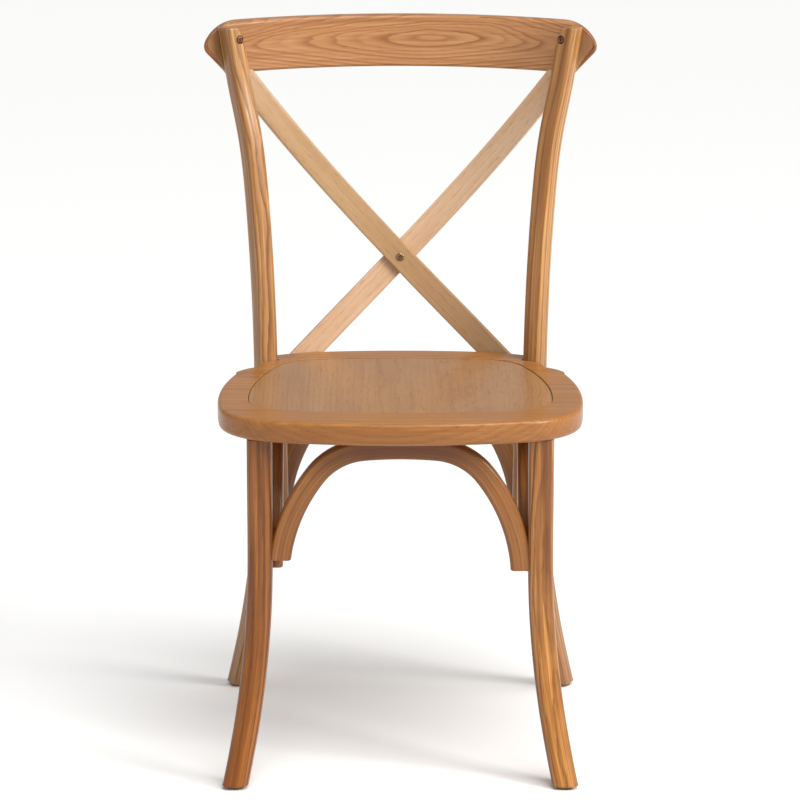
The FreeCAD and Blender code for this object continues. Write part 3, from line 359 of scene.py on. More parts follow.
def makeWood(name, tint=(1, 1, 1), pith=(0.03, 0.02), taper=0.012, eye=(9.0, 0.0), figure=0.6, warp=0.004,
             streaks=1.0, spacing=woodLook["ringSpacing"], calm=0.0, contrast=0.0, endShade=9.0,
             stain=(0.0, 1.0, 0.0, 0.0), middle=(0.0, 0.0), edge=(0.0, 1.0, 0.0), shift=0.0):
    # ring number = (distance across from the pith + taper x distance along from the eye) / spacing;
    # the grain attribute holds each point's place across, through and along its stick in metres.
    # calm softens the streaks and contrast parts pale from dark. The darkenings are painted shade,
    # blended to the colour of the ring lines: stain = (from, to, share at from, share at to) along the
    # stick, on the posts partly the wood's own tone too, middle = (place, share) round a place along
    # it, edge = (low, high, share at low) through it
    lift = {"pale": 1 + contrast, "body": 1.0, "line": 1 - contrast, "pore": 1 - contrast}
    look = {key: tuple(c * t * k for c, t in zip(woodLook[key], tint)) for key, k in lift.items()}
    material = bpy.data.materials.new(name)
    n = Nodes(material)
    given = n.add("ShaderNodeAttribute", attribute_name="grain").outputs["Vector"]
    place = n.stretch(given, (1, 1, 1), (0, 0, shift))       # each stick is cut from its own stretch of wood
    slow = n.noise(n.stretch(place, (13, 13, 3.0)), 1.0, 2.0)
    wave = n.noise(n.stretch(place, (70, 70, 14)), 1.0, 3.0)
    parts = n.add("ShaderNodeSeparateXYZ", in_Vector=given)
    wander = n.math("ADD", n.math("MULTIPLY", n.math("SUBTRACT", slow, 0.5), warp * 7),
                    n.math("MULTIPLY", n.math("SUBTRACT", wave, 0.5), warp * 1.3))
    across = n.math("SUBTRACT", n.math("ADD", parts.outputs[0], wander), pith[0])
    deep = n.math("SUBTRACT", parts.outputs[1], pith[1])
    radius = n.math("SQRT", n.math("ADD", n.math("MULTIPLY", across, across), n.math("MULTIPLY", deep, deep)))
    off = n.math("SUBTRACT", parts.outputs[2], eye[0])
    away = n.math("SQRT", n.math("ADD", n.math("MULTIPLY", off, off), eye[1] ** 2))
    reach = n.math("ADD", radius, n.math("MULTIPLY", away, taper))
    reach = n.math("ADD", reach, n.math("MULTIPLY", wander, 0.7))
    ringed = n.math("DIVIDE", reach, spacing)
    phase = n.math("FRACT", ringed)
    fade = n.between(phase, 0.10, 0.72, (1.0, 0.0))          # open early wood, darkest where a ring starts
    rise = n.between(phase, 0.86, 1.0)
    line = n.math("POWER", n.math("MAXIMUM", fade, rise), 1.8)
    ringNumber = n.math("FLOOR", n.math("ADD", ringed, 0.12))
    ringTone = n.noise(n.add("ShaderNodeCombineXYZ", in_X=ringNumber).outputs[0], 0.73, 0.0)
    strength = n.math("MULTIPLY", line, n.between(ringTone, 0.32, 0.68, (0.25 * figure, figure)))

    fibre = n.noise(n.stretch(place, (1100, 1100, 16)), 1.0, 3.0, 0.6)
    streak = n.noise(n.stretch(place, (240, 240, 3.2)), 1.0, 3.0, 0.55)
    band = n.noise(n.stretch(place, (60, 60, 1.6)), 1.0, 2.0, 0.5)
    pores = n.noise(n.stretch(place, (1700, 1700, 1 / woodLook["poreLength"])), 1.0, 1.0, 0.4)
    inRings = n.math("ADD", n.math("MULTIPLY", line, 0.75), 0.16)
    dots = n.math("MULTIPLY", n.between(pores, 0.58, 0.70), inRings)
    cloud = n.noise(n.stretch(place, (16, 16, 6)), 1.0, 3.0)

    colour = n.blend(n.between(streak, 0.38 - calm, 0.62 + calm), look["pale"], look["body"])
    colour = n.blend(n.between(cloud, 0.35, 0.68, (0.0, 0.55)), colour, look["body"])
    colour = n.blend(n.between(band, 0.50, 0.66, (0.0, 0.34 * streaks)), colour, look["line"])
    colour = n.blend(strength, colour, look["line"])
    colour = n.blend(n.between(fibre, 0.38, 0.68, (0.0, 0.24 * streaks)), colour, look["line"])
    colour = n.blend(n.math("MULTIPLY", dots, 0.7), colour, look["pore"])
    ends = n.between(n.math("ABSOLUTE", parts.outputs[2]), endShade, endShade + 0.012,
                     (0.0, woodLook["endShadeShare"]))
    colour = n.blend(ends, colour, look["line"])             # painted shade on the stick's far ends, as on the rail's ears behind the posts
    run = n.between(parts.outputs[2], *stain[:2], stain[2:])
    colour = n.blend(run, colour, look["line"])              # and painted shade runs darker towards one end; on the posts it is partly the wood's own tone
    fromMiddle = n.math("ABSOLUTE", n.math("SUBTRACT", parts.outputs[2], middle[0]))
    crown = n.between(fromMiddle, 0.05, 0.13, (middle[1], 0.0))
    colour = n.blend(crown, colour, look["line"])            # painted shade round the middle of an arch, under the seat
    under = n.between(parts.outputs[1], edge[0], edge[1], (edge[2], 0.0))
    colour = n.blend(under, colour, look["line"])            # painted shade below a top face
    rough = n.math("ADD", woodLook["roughness"] - 0.05, n.math("MULTIPLY", fibre, 0.12))
    height = n.math("SUBTRACT", n.math("MULTIPLY", fibre, 0.35),
                    n.math("ADD", n.math("MULTIPLY", dots, 0.9), n.math("MULTIPLY", line, 0.25)))
    bump = n.add("ShaderNodeBump", in_Height=height, in_Strength=0.12, in_Distance=0.0006)
    shader = n.add("ShaderNodeBsdfPrincipled", in_Roughness=rough)
    n.feed(shader.inputs["Base Color"], colour)
    n.feed(shader.inputs["Normal"], bump.outputs[0])
    shader.inputs["Coat Weight"].default_value = woodLook["coat"]
    shader.inputs["Coat Roughness"].default_value = woodLook["coatRoughness"]
    shader.inputs["Specular IOR Level"].default_value = woodLook["specular"]
    out = n.add("ShaderNodeOutputMaterial")
    n.feed(out.inputs["Surface"], shader.outputs[0])
    return material


def dress(piece, material, node):
    # a piece takes its finish, rides on the chair and stands for its CAD node
    piece.data.materials.append(material)
    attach(piece, "root")
    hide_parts(node)
    return piece


rail = {
    "half": 0.249, "top": 0.885, "bottom": 0.818, "thick": 0.020, "bow": 0.410, "face": 0.2365,
    "round": 0.005, "shoulderInset": 0.014, "shoulderRound": 0.042, "earDrop": 0.031, "earRound": 0.014,
    "jawInset": 0.027, "jawRound": 0.008, "heart": 0.85,
    # the rail's stain darkens it towards its left end: painted shade
    "tint": (0.95, 0.92, 0.95), "stain": (-0.25, 0.20, 0.30, 0.0), "endShade": 0.232,
}
rail["centreY"] = rail["face"] - rail["bow"]
post = {
    "x": 0.1722, "y": 0.120, "width": 0.026, "depth": 0.027, "corner": 0.0075, "turn": 30,
    "footOut": 0.042, "footBack": 0.0805, "bend": 0.350, "topOut": 0.043, "topBack": 0.0425,
    "top": 0.880, "foot": 0.004, "seat": 0.430, "snipWidth": 0.0085, "snipHeight": 0.034,
    "snipKeep": 0.0035, "backPower": 1.9,
    "rise": [(0.17, 0.04, 0.12), (0.34, 0.12, 0.31), (0.52, 0.25, 0.55), (0.70, 0.47, 0.80),
             (0.84, 0.76, 0.98), (0.92, 0.90, 1.01), (1.03, 1.09, 0.99)],
    "tint": {"left": (0.89, 0.92, 0.88), "right": (0.93, 0.92, 0.78)},
    # each post is darkened towards its foot: partly the wood's own darker tone, partly painted shade beneath
    # the seat
    "stain": {"left": (0.10, 0.60, 0.45, 0.0), "right": (0.20, 0.66, 0.50, 0.0)},
}
screw = {
    "radius": 0.0025, "head": 0.0052, "rise": 0.0026, "sink": 0.0034, "room": 0.0005, "reach": 0.030,
    "crestDrop": 0.020, "crestInward": 0.0055, "crest": 0.038, "crossing": 0.0145, "slat": 0.026,
    "arch": 0.038, "archSpread": 0.028, "archRise": 0.015, "sideRise": 0.009, "slatShare": 0.985,
    "boltRadius": 0.003, "boltHead": 0.0065, "boltRise": 0.0032, "bolt": 0.058, "boltUp": 0.015,
    "washerThick": 0.0012, "washerSeat": 0.0006,
}
pastFoot = 0.1                                           # a stick runs on past its foot, to be cut level


def postLine(side):
    # below the bend, out grows with the square of the way down to the foot and back with the back
    # power; above it both follow the rise table
    share = np.array([1.0, 0.72, 0.46, 0.24, 0.08])
    low = np.stack([side * (post["x"] + post["footOut"] * share**2),
                    post["y"] + post["footBack"] * share ** post["backPower"],
                    post["bend"] * (1 - share)], -1)
    low[0] += (low[0] - low[1]) * pastFoot
    height, out, back = np.array([(0, 0, 0)] + post["rise"]).T
    high = np.stack([side * (post["x"] + post["topOut"] * out), post["y"] + post["topBack"] * back,
                     post["seat"] + (post["top"] - post["seat"]) * height], -1)
    return smoothLine(np.concatenate([low, high]), 900)


def postAt(side, height):
    # the post's middle at a height
    line = postLine(side)
    return np.array([*(np.interp(height, line[:, 2], line[:, axis]) for axis in (0, 1)), height])


def postWays(side):
    # the turned post's directions in plan: away from the sitter, and along its front face inwards
    t = radians(post["turn"])
    return np.array([side * np.sin(t), np.cos(t), 0]), np.array([-side * np.cos(t), np.sin(t), 0])


stickCount = 320
headWell = screw["head"] + screw["room"]
crestSpots = []
for side, word in ((-1, "left"), (1, "right")):
    line = cutLevel(postLine(side), post["foot"], post["top"], stickCount)
    fromTop = np.linalg.norm(np.diff(line, axis=0), axis=1)[::-1].cumsum()[::-1]
    fromTop = np.concatenate([fromTop, [0]])
    limit = post["width"] / 2 - post["snipWidth"] * np.clip(1 - fromTop / post["snipHeight"], 0, 1)
    section = snippedSection(limit, post["width"], post["depth"], post["corner"], post["snipKeep"])
    turn = radians(-side * post["turn"])
    rings, grain = carrySection(line, (np.cos(turn), np.sin(turn), 0), section * (-side, 1))
    piece = closedTube(f"rear_post_{word}_stick", rings, grain)
    back, inward = postWays(side)
    centre = postAt(side, rail["top"] - screw["crestDrop"]) + inward * screw["crestInward"]
    crestSpots.append((centre - back * (post["depth"] / 2 - screw["sink"]), -back))
    drill(piece, crestSpots[-1:], headWell, screw["reach"])
    wood = makeWood(f"postWood_{word}", post["tint"][word], pith=(0.030 * side, 0.040), taper=0.010,
                    eye=(0.3, 0.2), figure=0.9, streaks=2.0, spacing=0.0055, contrast=0.18,
                    stain=post["stain"][word], shift=1.3 + side)
    dress(piece, wood, f"rear_post_{word}")
print("rear posts made")

leg = {
    "x": 0.1712, "y": -0.1965, "width": 0.031, "corner": 0.0105, "footOut": 0.0315,
    "footForward": 0.0468, "bend": 0.280, "foot": 0.004, "top": 0.430, "pastTop": 0.014,
    # the legs' tints are darker than the posts' partly by the wood's own tone and partly by painted shade;
    # the left leg's is darker still, painted shade away from the light on the right
    "tint": {"left": (0.55, 0.37, 0.16), "right": (0.84, 0.71, 0.44)},
    # each leg is darkened towards its top: painted shade beneath the seat
    "stain": {"left": (0.08, 0.40, 0.0, 0.30), "right": (0.08, 0.40, 0.0, 0.06)},
}
legSection = roundedSection(leg["width"], leg["width"], leg["corner"])
for side, word in ((-1, "left"), (1, "right")):
    share = np.array([1.0, 0.75, 0.5, 0.25, 0.0])
    low = np.stack([side * (leg["x"] + leg["footOut"] * share**2), leg["y"] - leg["footForward"] * share**2,
                    leg["bend"] * (1 - share)], -1)
    low[0] += (low[0] - low[1]) * pastFoot
    heights = ((leg["top"] + leg["bend"]) / 2, leg["top"] + leg["pastTop"])
    straight = [[side * leg["x"], leg["y"], z] for z in heights]
    line = cutLevel(smoothLine(np.concatenate([low, straight]), 600), leg["foot"], leg["top"], stickCount)
    rings, grain = carrySection(line, (1, 0, 0), legSection)
    piece = closedTube(f"front_leg_{word}_stick", rings, grain)
    wood = makeWood(f"legWood_{word}", leg["tint"][word], pith=(-0.030 * side, 0.050), taper=0.014,
                    figure=1.0, streaks=2.3, spacing=0.006, contrast=0.40, stain=leg["stain"][word],
                    shift=2.1 - side * 0.4)
    dress(piece, wood, f"front_leg_{word}")
print("front legs made")

arch = {
    "bar": 0.0265, "crown": 0.500, "corner": 0.070, "limb": 0.200, "turn": 52, "round": 0.0055, "seat": 0.430,
    # the middle of each arch is darkened: painted shade beneath the seat
    "ease": 0.03, "crownShade": 0.75,
    # the arch tints are darker than the posts' partly by the wood's own tone and partly by painted shade
    # beneath the seat
    "tint": {
        "front_arch": (0.57, 0.45, 0.28), "rear_arch": (0.52, 0.42, 0.30),
        "side_arch_left": (0.50, 0.40, 0.28), "side_arch_right": (0.55, 0.45, 0.32),
    },
}
sideArch = dict(span=0.146, feet=(0.262, 0.262), thick=0.023, quarter=True)
archPlaces = {
    "front_arch": dict(span=0.1615, feet=(0.277, 0.264), thick=0.020, at=(0, -0.1965), quarter=False),
    "rear_arch": dict(span=0.1675, feet=(0.270, 0.270), thick=0.020, at=(0, 0.120), quarter=False),
    "side_arch_left": dict(sideArch, at=(-0.1555, -0.03725)),
    "side_arch_right": dict(sideArch, at=(0.1555, -0.03725)),
}


def archBows(span):
    # middles of the crown, corner and limb bows of the inner edge, each touching the next
    turn = radians(arch["turn"])
    step = arch["limb"] - arch["corner"]
    cornerX = span + step * np.sin(turn) - arch["limb"] - arch["bar"]
    lean = np.arcsin(cornerX / (arch["crown"] - arch["corner"]))
    crownZ = arch["seat"] - arch["bar"] - arch["crown"]
    cornerZ = crownZ + (arch["crown"] - arch["corner"]) * np.cos(lean)
    limb = (cornerX - step * np.sin(turn), cornerZ - step * np.cos(turn))
    return crownZ, lean, (cornerX, cornerZ), limb, turn


def archLine(span, feet, count):
    # (x, z) = middle + (r + half bar) (sin a, cos a) along each bow, both ways from the crown
    crownZ, lean, (cornerX, cornerZ), (limbX, limbZ), turn = archBows(span)
    half = arch["bar"] / 2
    halves = []
    for foot in feet:
        end = np.arccos((foot - limbZ) / (arch["limb"] + half))
        bows = [(0, crownZ, arch["crown"], 0, lean), (cornerX, cornerZ, arch["corner"], lean, turn),
                (limbX, limbZ, arch["limb"], turn, end)]
        runs = [np.stack([x + (r + half) * np.sin(a), z + (r + half) * np.cos(a)], -1)
                for x, z, r, first, last in bows for a in [np.linspace(first, last, 90)]]
        halves.append(np.concatenate([run[:-1] for run in runs[:2]] + [runs[2]]))
    both = np.concatenate([halves[0][::-1][:-1] * (-1, 1), halves[1]])
    way = np.concatenate([[0], np.cumsum(np.linalg.norm(np.diff(both, axis=0), axis=1))])
    even = np.linspace(0, way[-1], count)
    return np.stack([np.interp(even, way, both[:, 0]), np.interp(even, way, both[:, 1])], -1)


def archSpots(form):
    # end screws go out through the limbs, and those of the side arches lean to the legs' cores;
    # top screws go up through the crown: all sit on a bow that is deeper by their sink
    crownZ, _, _, (limbX, limbZ), _ = archBows(form["span"])
    x, y = form["at"]
    ends, tops = [], []
    for side, foot in zip((-1, 1), form["feet"]):
        height = foot + (screw["sideRise"] if form["quarter"] else screw["archRise"])
        inner = limbX + np.sqrt((arch["limb"] + screw["sink"]) ** 2 - (height - limbZ) ** 2)
        up = crownZ + np.sqrt((arch["crown"] + screw["sink"]) ** 2 - screw["archSpread"] ** 2)
        if form["quarter"]:
            hand = np.sign(x)
            head = np.array([x, y + side * inner, height])
            core = postAt(hand, height) if side > 0 else np.array([hand * leg["x"], leg["y"], height])
            t = radians(post["turn"])
            head[0] = core[0] - hand * abs(core[1] - head[1]) * np.tan(t)
            way = np.array([hand * np.sin(t), side * np.cos(t), 0])
            tops.append(((x, y + side * screw["archSpread"], up), (0, 0, -1)))
        else:
            head, way = np.array([x + side * inner, y, height]), np.array([side, 0.0, 0.0])
            tops.append(((x + side * screw["archSpread"], y, up), (0, 0, -1)))
        ends.append((head, -way))
    return ends, tops


endSpots, topSpots = [], []
for i, (name, form) in enumerate(archPlaces.items()):
    flatLine = archLine(form["span"], form["feet"], stickCount)
    zero = np.zeros(len(flatLine))
    x, y = form["at"]
    if form["quarter"]:
        line = np.stack([x + zero, y + flatLine[:, 0], flatLine[:, 1]], -1)
        sideways = (1, 0, 0)
    else:
        line = np.stack([x + flatLine[:, 0], y + zero, flatLine[:, 1]], -1)
        sideways = (0, 1, 0)
    section = roundedSection(form["thick"], arch["bar"], arch["round"])
    rings, grain = carrySection(line, sideways, section, ease=arch["ease"])
    piece = closedTube(f"{name}_bar", rings, grain)
    ends, tops = archSpots(form)
    drill(piece, ends + tops, headWell, screw["reach"])
    endSpots, topSpots = endSpots + ends, topSpots + tops
    length = np.linalg.norm(np.diff(flatLine, axis=0), axis=1).sum()
    wood = makeWood(f"{name}_wood", arch["tint"][name], pith=(0.02, 0.06), taper=0.006, figure=0.5,
                    streaks=1.5, contrast=0.10, middle=(length / 2, arch["crownShade"]), shift=3.0 + i)
    dress(piece, wood, name)
print("arches made")


def roundCorners(corners, radii, steps=24):
    # each corner of an open line is replaced by the arc that touches both of its runs
    out = [corners[:1]]
    for a, p, b, r in zip(corners[:-2], corners[1:-1], corners[2:], radii):
        u, w = (a - p) / np.linalg.norm(a - p), (b - p) / np.linalg.norm(b - p)
        half = np.arccos(np.clip(u @ w, -1, 1)) / 2
        middle = p + (u + w) / np.linalg.norm(u + w) * r / np.sin(half)
        first, last = p + u * r / np.tan(half) - middle, p + w * r / np.tan(half) - middle
        angle = np.arccos(np.clip(first @ last / r**2, -1, 1))
        share = np.linspace(0, 1, steps)[:, None]
        arc = np.sin((1 - share) * angle) * first + np.sin(share * angle) * last
        out.append(middle + arc / np.sin(angle))
    return np.concatenate(out + [corners[-1:]])


def railOutline():
    # right half of the front outline, from the middle of the top round the ear to the foot
    tipX = rail["half"] + rail["earRound"] / 4
    corners = np.array([(0, rail["top"]), (rail["half"] - rail["shoulderInset"], rail["top"]),
                        (tipX, rail["top"] - rail["earDrop"]),
                        (rail["half"] - rail["jawInset"], rail["bottom"]), (0, rail["bottom"])])
    return roundCorners(corners, [rail["shoulderRound"], rail["earRound"], rail["jawRound"]])


outline = railOutline()
nose = outline[:, 0].argmax()
xs = outline[nose, 0] * np.sin(np.linspace(-pi / 2, pi / 2, 321))
upper, lower = outline[: nose + 1], outline[nose:][::-1]
zTop = np.interp(np.abs(xs), upper[:, 0], upper[:, 1])
zLow = np.interp(np.abs(xs), lower[:, 0], lower[:, 1])
loop = np.concatenate([np.stack([xs, zTop], -1), np.stack([xs, zLow], -1)[::-1][1:-1]])


def loopNormals(loop):
    # outward normal of a closed line that runs clockwise
    t = np.roll(loop, -1, axis=0) - np.roll(loop, 1, axis=0)
    t /= np.linalg.norm(t, axis=1)[:, None] + 1e-12
    return np.stack([-t[:, 1], t[:, 0]], -1)


def bowedBoard(name, loop, centreY, bow, thick, edge):
    # rings of a front outline: drawn in by r(1 - sin q) and set r(1 - cos q) deep over each
    # edge, then pressed flat to the middle height; (x, z, depth) is bent round the bow
    normals = loopNormals(loop)
    zMid = np.interp(loop[:, 0], xs, (zTop + zLow) / 2)
    q = np.linspace(0, pi / 2, 8)
    press = (0.0, 0.25, 0.5, 0.75, 0.92)
    steps = [(edge, 0.0, k) for k in press]
    steps += [(edge * (1 - np.sin(a)), edge * (1 - np.cos(a)), 1.0) for a in q]
    steps += [(edge * (1 - np.cos(a)), thick - edge * (1 - np.sin(a)), 1.0) for a in q]
    steps += [(edge, thick, k) for k in press[::-1]]
    rings, grain = [], []
    for inset, depth, k in steps:
        flat = loop - normals * inset
        x = loop[:, 0] + (flat[:, 0] - loop[:, 0]) * k if k < 1 else flat[:, 0]
        if k < 1:                                  # nose points draw in with the rest, so the fold stays flat
            drawn = np.sign(loop[:, 0]) * np.minimum(np.abs(loop[:, 0]), outline[nose, 0] - inset)
            x = x + (drawn - x) * (1 - k)
        z = zMid + (flat[:, 1] - zMid) * k
        rings.append(np.stack([x, centreY + np.sqrt((bow + depth) ** 2 - x**2), z], -1))
        grain.append(np.stack([z - rail["heart"], np.full_like(x, depth), bow * np.arcsin(x / bow)], -1))
    rings, grain = np.array(rings), np.array(grain)
    faces = tubeFaces(*rings.shape[:2])[:1]
    board = layMesh(name, rings.reshape(-1, 3), faces, grain.reshape(-1, 3))
    weld(board)
    return board


piece = bowedBoard("crest_rail_board", loop, rail["centreY"], rail["bow"], rail["thick"], rail["round"])
# the rail's ears beyond the posts are darkened: painted shade behind the posts
wood = makeWood("railWood", rail["tint"], pith=(0.003, 0.013), taper=0.13, eye=(0.030, 0.045), figure=0.80,
                warp=0.0046, streaks=0.8, endShade=rail["endShade"], stain=rail["stain"], shift=0.4)
dress(piece, wood, "crest_rail")
print("crest rail made")

slat = {
    "width": 0.0305, "thick": 0.008, "corner": 0.0015, "sidewaysBow": 0.017, "lowBow": 0.340,
    "lowFace": 0.182, "footHeight": 0.410, "topInset": 0.014, "topDrop": 0.0235, "footInset": 0.0042,
    "sink": 0.0004, "sinkRun": 0.02, "endShadeShare": 1.02, "overChord": 1.06,
    # each slat's top end at the ear is darkened: painted shade behind the post
    "topShade": (0.012, 0.040, 0.8, 0.0),
    "tint": {"front": (0.83, 1.01, 1.31), "rear": (1.18, 1.56, 2.50)},
}
slatTop = np.array([-rail["half"] + slat["topInset"], rail["top"] - slat["topDrop"]])
slatFoot = np.array([post["x"] - slat["footInset"], slat["footHeight"]])


def backFace(x, z):
    # an upright bow at the rail that tightens towards the seat
    share = np.clip((z - slat["footHeight"]) / (rail["bottom"] - slat["footHeight"]), 0, 1)
    bow = slat["lowBow"] + share * (rail["bow"] - slat["lowBow"])
    face = slat["lowFace"] + share * (rail["face"] - slat["lowFace"])
    return face - bow + np.sqrt(bow**2 - x**2)


def slatFlat(share):
    # chord from the ear to the foot, bowed a little to one side
    chord = slatFoot - slatTop
    square = np.array([-chord[1], chord[0]]) / np.linalg.norm(chord)
    bow = slat["sidewaysBow"] * 4 * share * (1 - share) * (1.25 - 0.5 * share)
    return slatTop + chord * share[..., None] - square * bow[..., None]


many = np.linspace(0, 1, 4001)
crossingShare = many[np.argmax(slatFlat(many)[:, 0] > 0)]


def slatLine(share, layer):
    # centre of the strip: half a thickness behind the bent back, parted where the two cross,
    # and a little deeper where the rail houses it
    flat = slatFlat(share)
    reach = np.where(share < crossingShare, crossingShare, 1 - crossingShare)
    spread = np.cos(pi / 2 * np.clip(np.abs(share - crossingShare) / reach, 0, 1)) ** 2
    deep = slat["thick"] * (0.5 + layer * 0.5 * spread)
    deep = deep + slat["sink"] * np.clip((flat[..., 1] - rail["bottom"]) / slat["sinkRun"] + 1, 0, 1)
    return np.stack([flat[..., 0], backFace(flat[..., 0], flat[..., 1]) + deep, flat[..., 1]], -1)


def slatSurface(share, layer, section):
    # P = C + A a + B b, where B is the back's normal at C and A is square to B and the line
    step = 0.002
    here = slatLine(share, layer)
    along = slatLine(share + step, layer) - slatLine(share - step, layer)
    along /= np.linalg.norm(along, axis=-1, keepdims=True)
    reach = 0.0005
    x, z = here[..., 0], here[..., 2]
    overX = (backFace(x + reach, z) - backFace(x - reach, z)) / 2 / reach
    overZ = (backFace(x, z + reach) - backFace(x, z - reach)) / 2 / reach
    behind = np.stack([-overX, np.ones_like(overX), -overZ], -1)
    behind -= (behind * along).sum(-1, keepdims=True) * along
    behind /= np.linalg.norm(behind, axis=-1, keepdims=True)
    across = np.cross(behind, along)
    return here + across * section[..., :1] + behind * section[..., 1:]


slatSection = roundedSection(slat["width"], slat["thick"], slat["corner"], steps=6, flat=8)


def slatStart(layer):
    # for each line of the section, the share at which it comes inside the flat of the ear
    share = np.linspace(-0.09, 0.1, 500)
    points = slatSurface(share[:, None] + 0 * slatSection[None, :, 0], layer, slatSection[None])
    inside = points[..., 2] < np.interp(np.abs(points[..., 0]), upper[:, 0], upper[:, 1]) - rail["round"]
    inside &= np.abs(points[..., 0]) < outline[nose, 0] - rail["round"]
    return share[inside.argmax(0)]


slatLength = np.linalg.norm(slatFoot - slatTop) * slat["overChord"]
for layer, word in ((-1, "front"), (1, "rear")):
    start = slatStart(layer)
    v = np.linspace(0, 1, stickCount)[:, None]
    share = start[None] + (slat["endShadeShare"] - start[None]) * v
    rings = slatSurface(share, layer, slatSection[None])
    across = np.broadcast_to(slatSection[None], (*share.shape, 2))
    grain = np.concatenate([across, share[..., None] * slatLength], -1)
    if layer > 0:
        rings = rings * (-1, 1, 1)
    piece = closedTube(f"cross_slat_{word}_strip", rings, grain)
    wood = makeWood(f"slatWood_{word}", slat["tint"][word], pith=(0.05, 0.10), taper=0.006, figure=0.07,
                    streaks=0.3, calm=0.25, stain=slat["topShade"], shift=5.0 + layer)
    dress(piece, wood, f"cross_slat_{word}")
print("slats made")

seat = {
    "half": 0.2255, "front": -0.2475, "rear": 0.1755, "widest": -0.0905, "frontBow": 0.650, "rearBow": 0.700,
    "sideBow": 0.520, "frontCorner": 0.092, "rearCorner": 0.085, "top": 0.4575, "thick": 0.0275,
    "topRound": 0.005, "bottomRound": 0.0065, "middle": (0.0, -0.040), "relief": 0.0009,
    "notchEase": 0.16, "lip": 0.0006, "hub": 0.002,
    "ear": [(0.2142, 0.020), (0.2115, 0.0315), (0.2068, 0.0465), (0.2006, 0.0570), (0.1930, 0.0662),
            (0.184, 0.073)],
    # the seat board is darkened below its top face: painted shade, the top left paler
    "edgeShade": (0.018, 0.0265, 0.28),
    "tint": (0.72, 0.60, 0.37), "panelTint": (0.655, 0.65, 0.655),
}
panel = {
    "sideMargin": 0.0375, "frontMargin": 0.062, "rearMargin": 0.045, "corner": 0.062, "thick": 0.005,
    "drop": 0.0008, "gap": 0.0004, "bevel": 0.001,
}


def bowedLoop(half, front, rear, frontBow, rearBow, sideBow, frontCorner, rearCorner):
    # polar reach of four bows joined by corner circles that touch two bows each
    def touching(c1, r1, c2, r2, f, near):
        # middle of a circle of radius f that touches two larger circles from inside
        d = c2 - c1
        gap = np.linalg.norm(d)
        a = ((r1 - f) ** 2 - (r2 - f) ** 2 + gap**2) / (2 * gap)
        h = np.sqrt((r1 - f) ** 2 - a**2)
        square = np.array([-d[1], d[0]]) / gap
        both = [c1 + d / gap * a + square * h * s for s in (-1, 1)]
        return min(both, key=lambda p: np.linalg.norm(p - near))

    frontC, rearC = np.array([0, front + frontBow]), np.array([0, rear - rearBow])
    sideC = np.array([half - sideBow, seat["widest"]])
    frontK = touching(frontC, frontBow, sideC, sideBow, frontCorner, np.array([half, front]))
    rearK = touching(rearC, rearBow, sideC, sideBow, rearCorner, np.array([half, rear]))

    def heading(p, c):
        # direction of p seen from c
        return np.arctan2(*(p - c)[::-1])

    def run(c, r, first, last):
        # c + r (cos a, sin a) from the first heading to the last
        a = np.linspace(first, last, 200)
        return np.stack([c[0] + r * np.cos(a), c[1] + r * np.sin(a)], -1)

    right = np.concatenate([
        run(frontC, frontBow, -pi / 2, heading(frontK, frontC)),
        run(frontK, frontCorner, heading(frontK, frontC), heading(frontK, sideC)),
        run(sideC, sideBow, heading(frontK, sideC), heading(rearK, sideC)),
        run(rearK, rearCorner, heading(rearK, sideC), heading(rearK, rearC)),
        run(rearC, rearBow, heading(rearK, rearC), pi / 2),
    ])
    off = right - seat["middle"]
    return np.arctan2(off[:, 1], off[:, 0]), np.linalg.norm(off, axis=1)


def foldHeading(angle):
    # a heading on the left half becomes its mirror image on the right
    return pi / 2 - np.abs(np.mod(angle + pi / 2, 2 * pi) - pi)


def polarReach(angle, table):
    # the reach at any heading, from a table of the right half; the left half mirrors it
    return np.interp(foldHeading(angle), *table)


top, low = seat["top"], seat["top"] - seat["thick"]
floor, face = top - panel["thick"] - panel["drop"], top - panel["drop"]
around = 1080
theta = np.linspace(0, 2 * pi, around, endpoint=False)
board = polarReach(theta, bowedLoop(
    seat["half"], seat["front"], seat["rear"], seat["frontBow"], seat["rearBow"], seat["sideBow"],
    seat["frontCorner"], seat["rearCorner"]))
recess = polarReach(theta, bowedLoop(
    seat["half"] - panel["sideMargin"], seat["front"] + panel["frontMargin"],
    seat["rear"] - panel["rearMargin"], seat["frontBow"], seat["rearBow"],
    seat["sideBow"] - panel["sideMargin"], panel["corner"], panel["corner"]))

# the notch for a rear post: the ear's hollow curve, then two faces of the turned post
t = radians(post["turn"])
outDir, backDir = np.array([np.cos(t), -np.sin(t)]), np.array([np.sin(t), np.cos(t)])
postMid = np.array([post["x"], post["y"]])
w, d = post["width"] / 2, post["depth"] / 2
postCorners = [postMid + outDir * w - backDir * d, postMid - outDir * w - backDir * d,
               postMid - outDir * w + backDir * 3 * d]
notch = np.concatenate([seat["ear"], postCorners]) - seat["middle"]
notchAngle = np.arctan2(notch[:, 1], notch[:, 0])


def rayReach(angle):
    # distance from the seat's middle to the notch along a heading: the ray meets a straight run
    i = np.clip(np.searchsorted(notchAngle, angle) - 1, 0, len(notchAngle) - 2)
    a, b = notch[i], notch[i + 1]
    ray = np.stack([np.cos(angle), np.sin(angle)], -1)
    edge = b - a
    cross = ray[..., 0] * edge[..., 1] - ray[..., 1] * edge[..., 0]
    cross = np.where(np.abs(cross) < 1e-9, 1e-9, cross)      # a ray along a run would divide by zero
    reach = (a[..., 0] * edge[..., 1] - a[..., 1] * edge[..., 0]) / cross
    return np.where((angle >= notchAngle[0]) & (angle <= notchAngle[-1]), reach, 9.0)


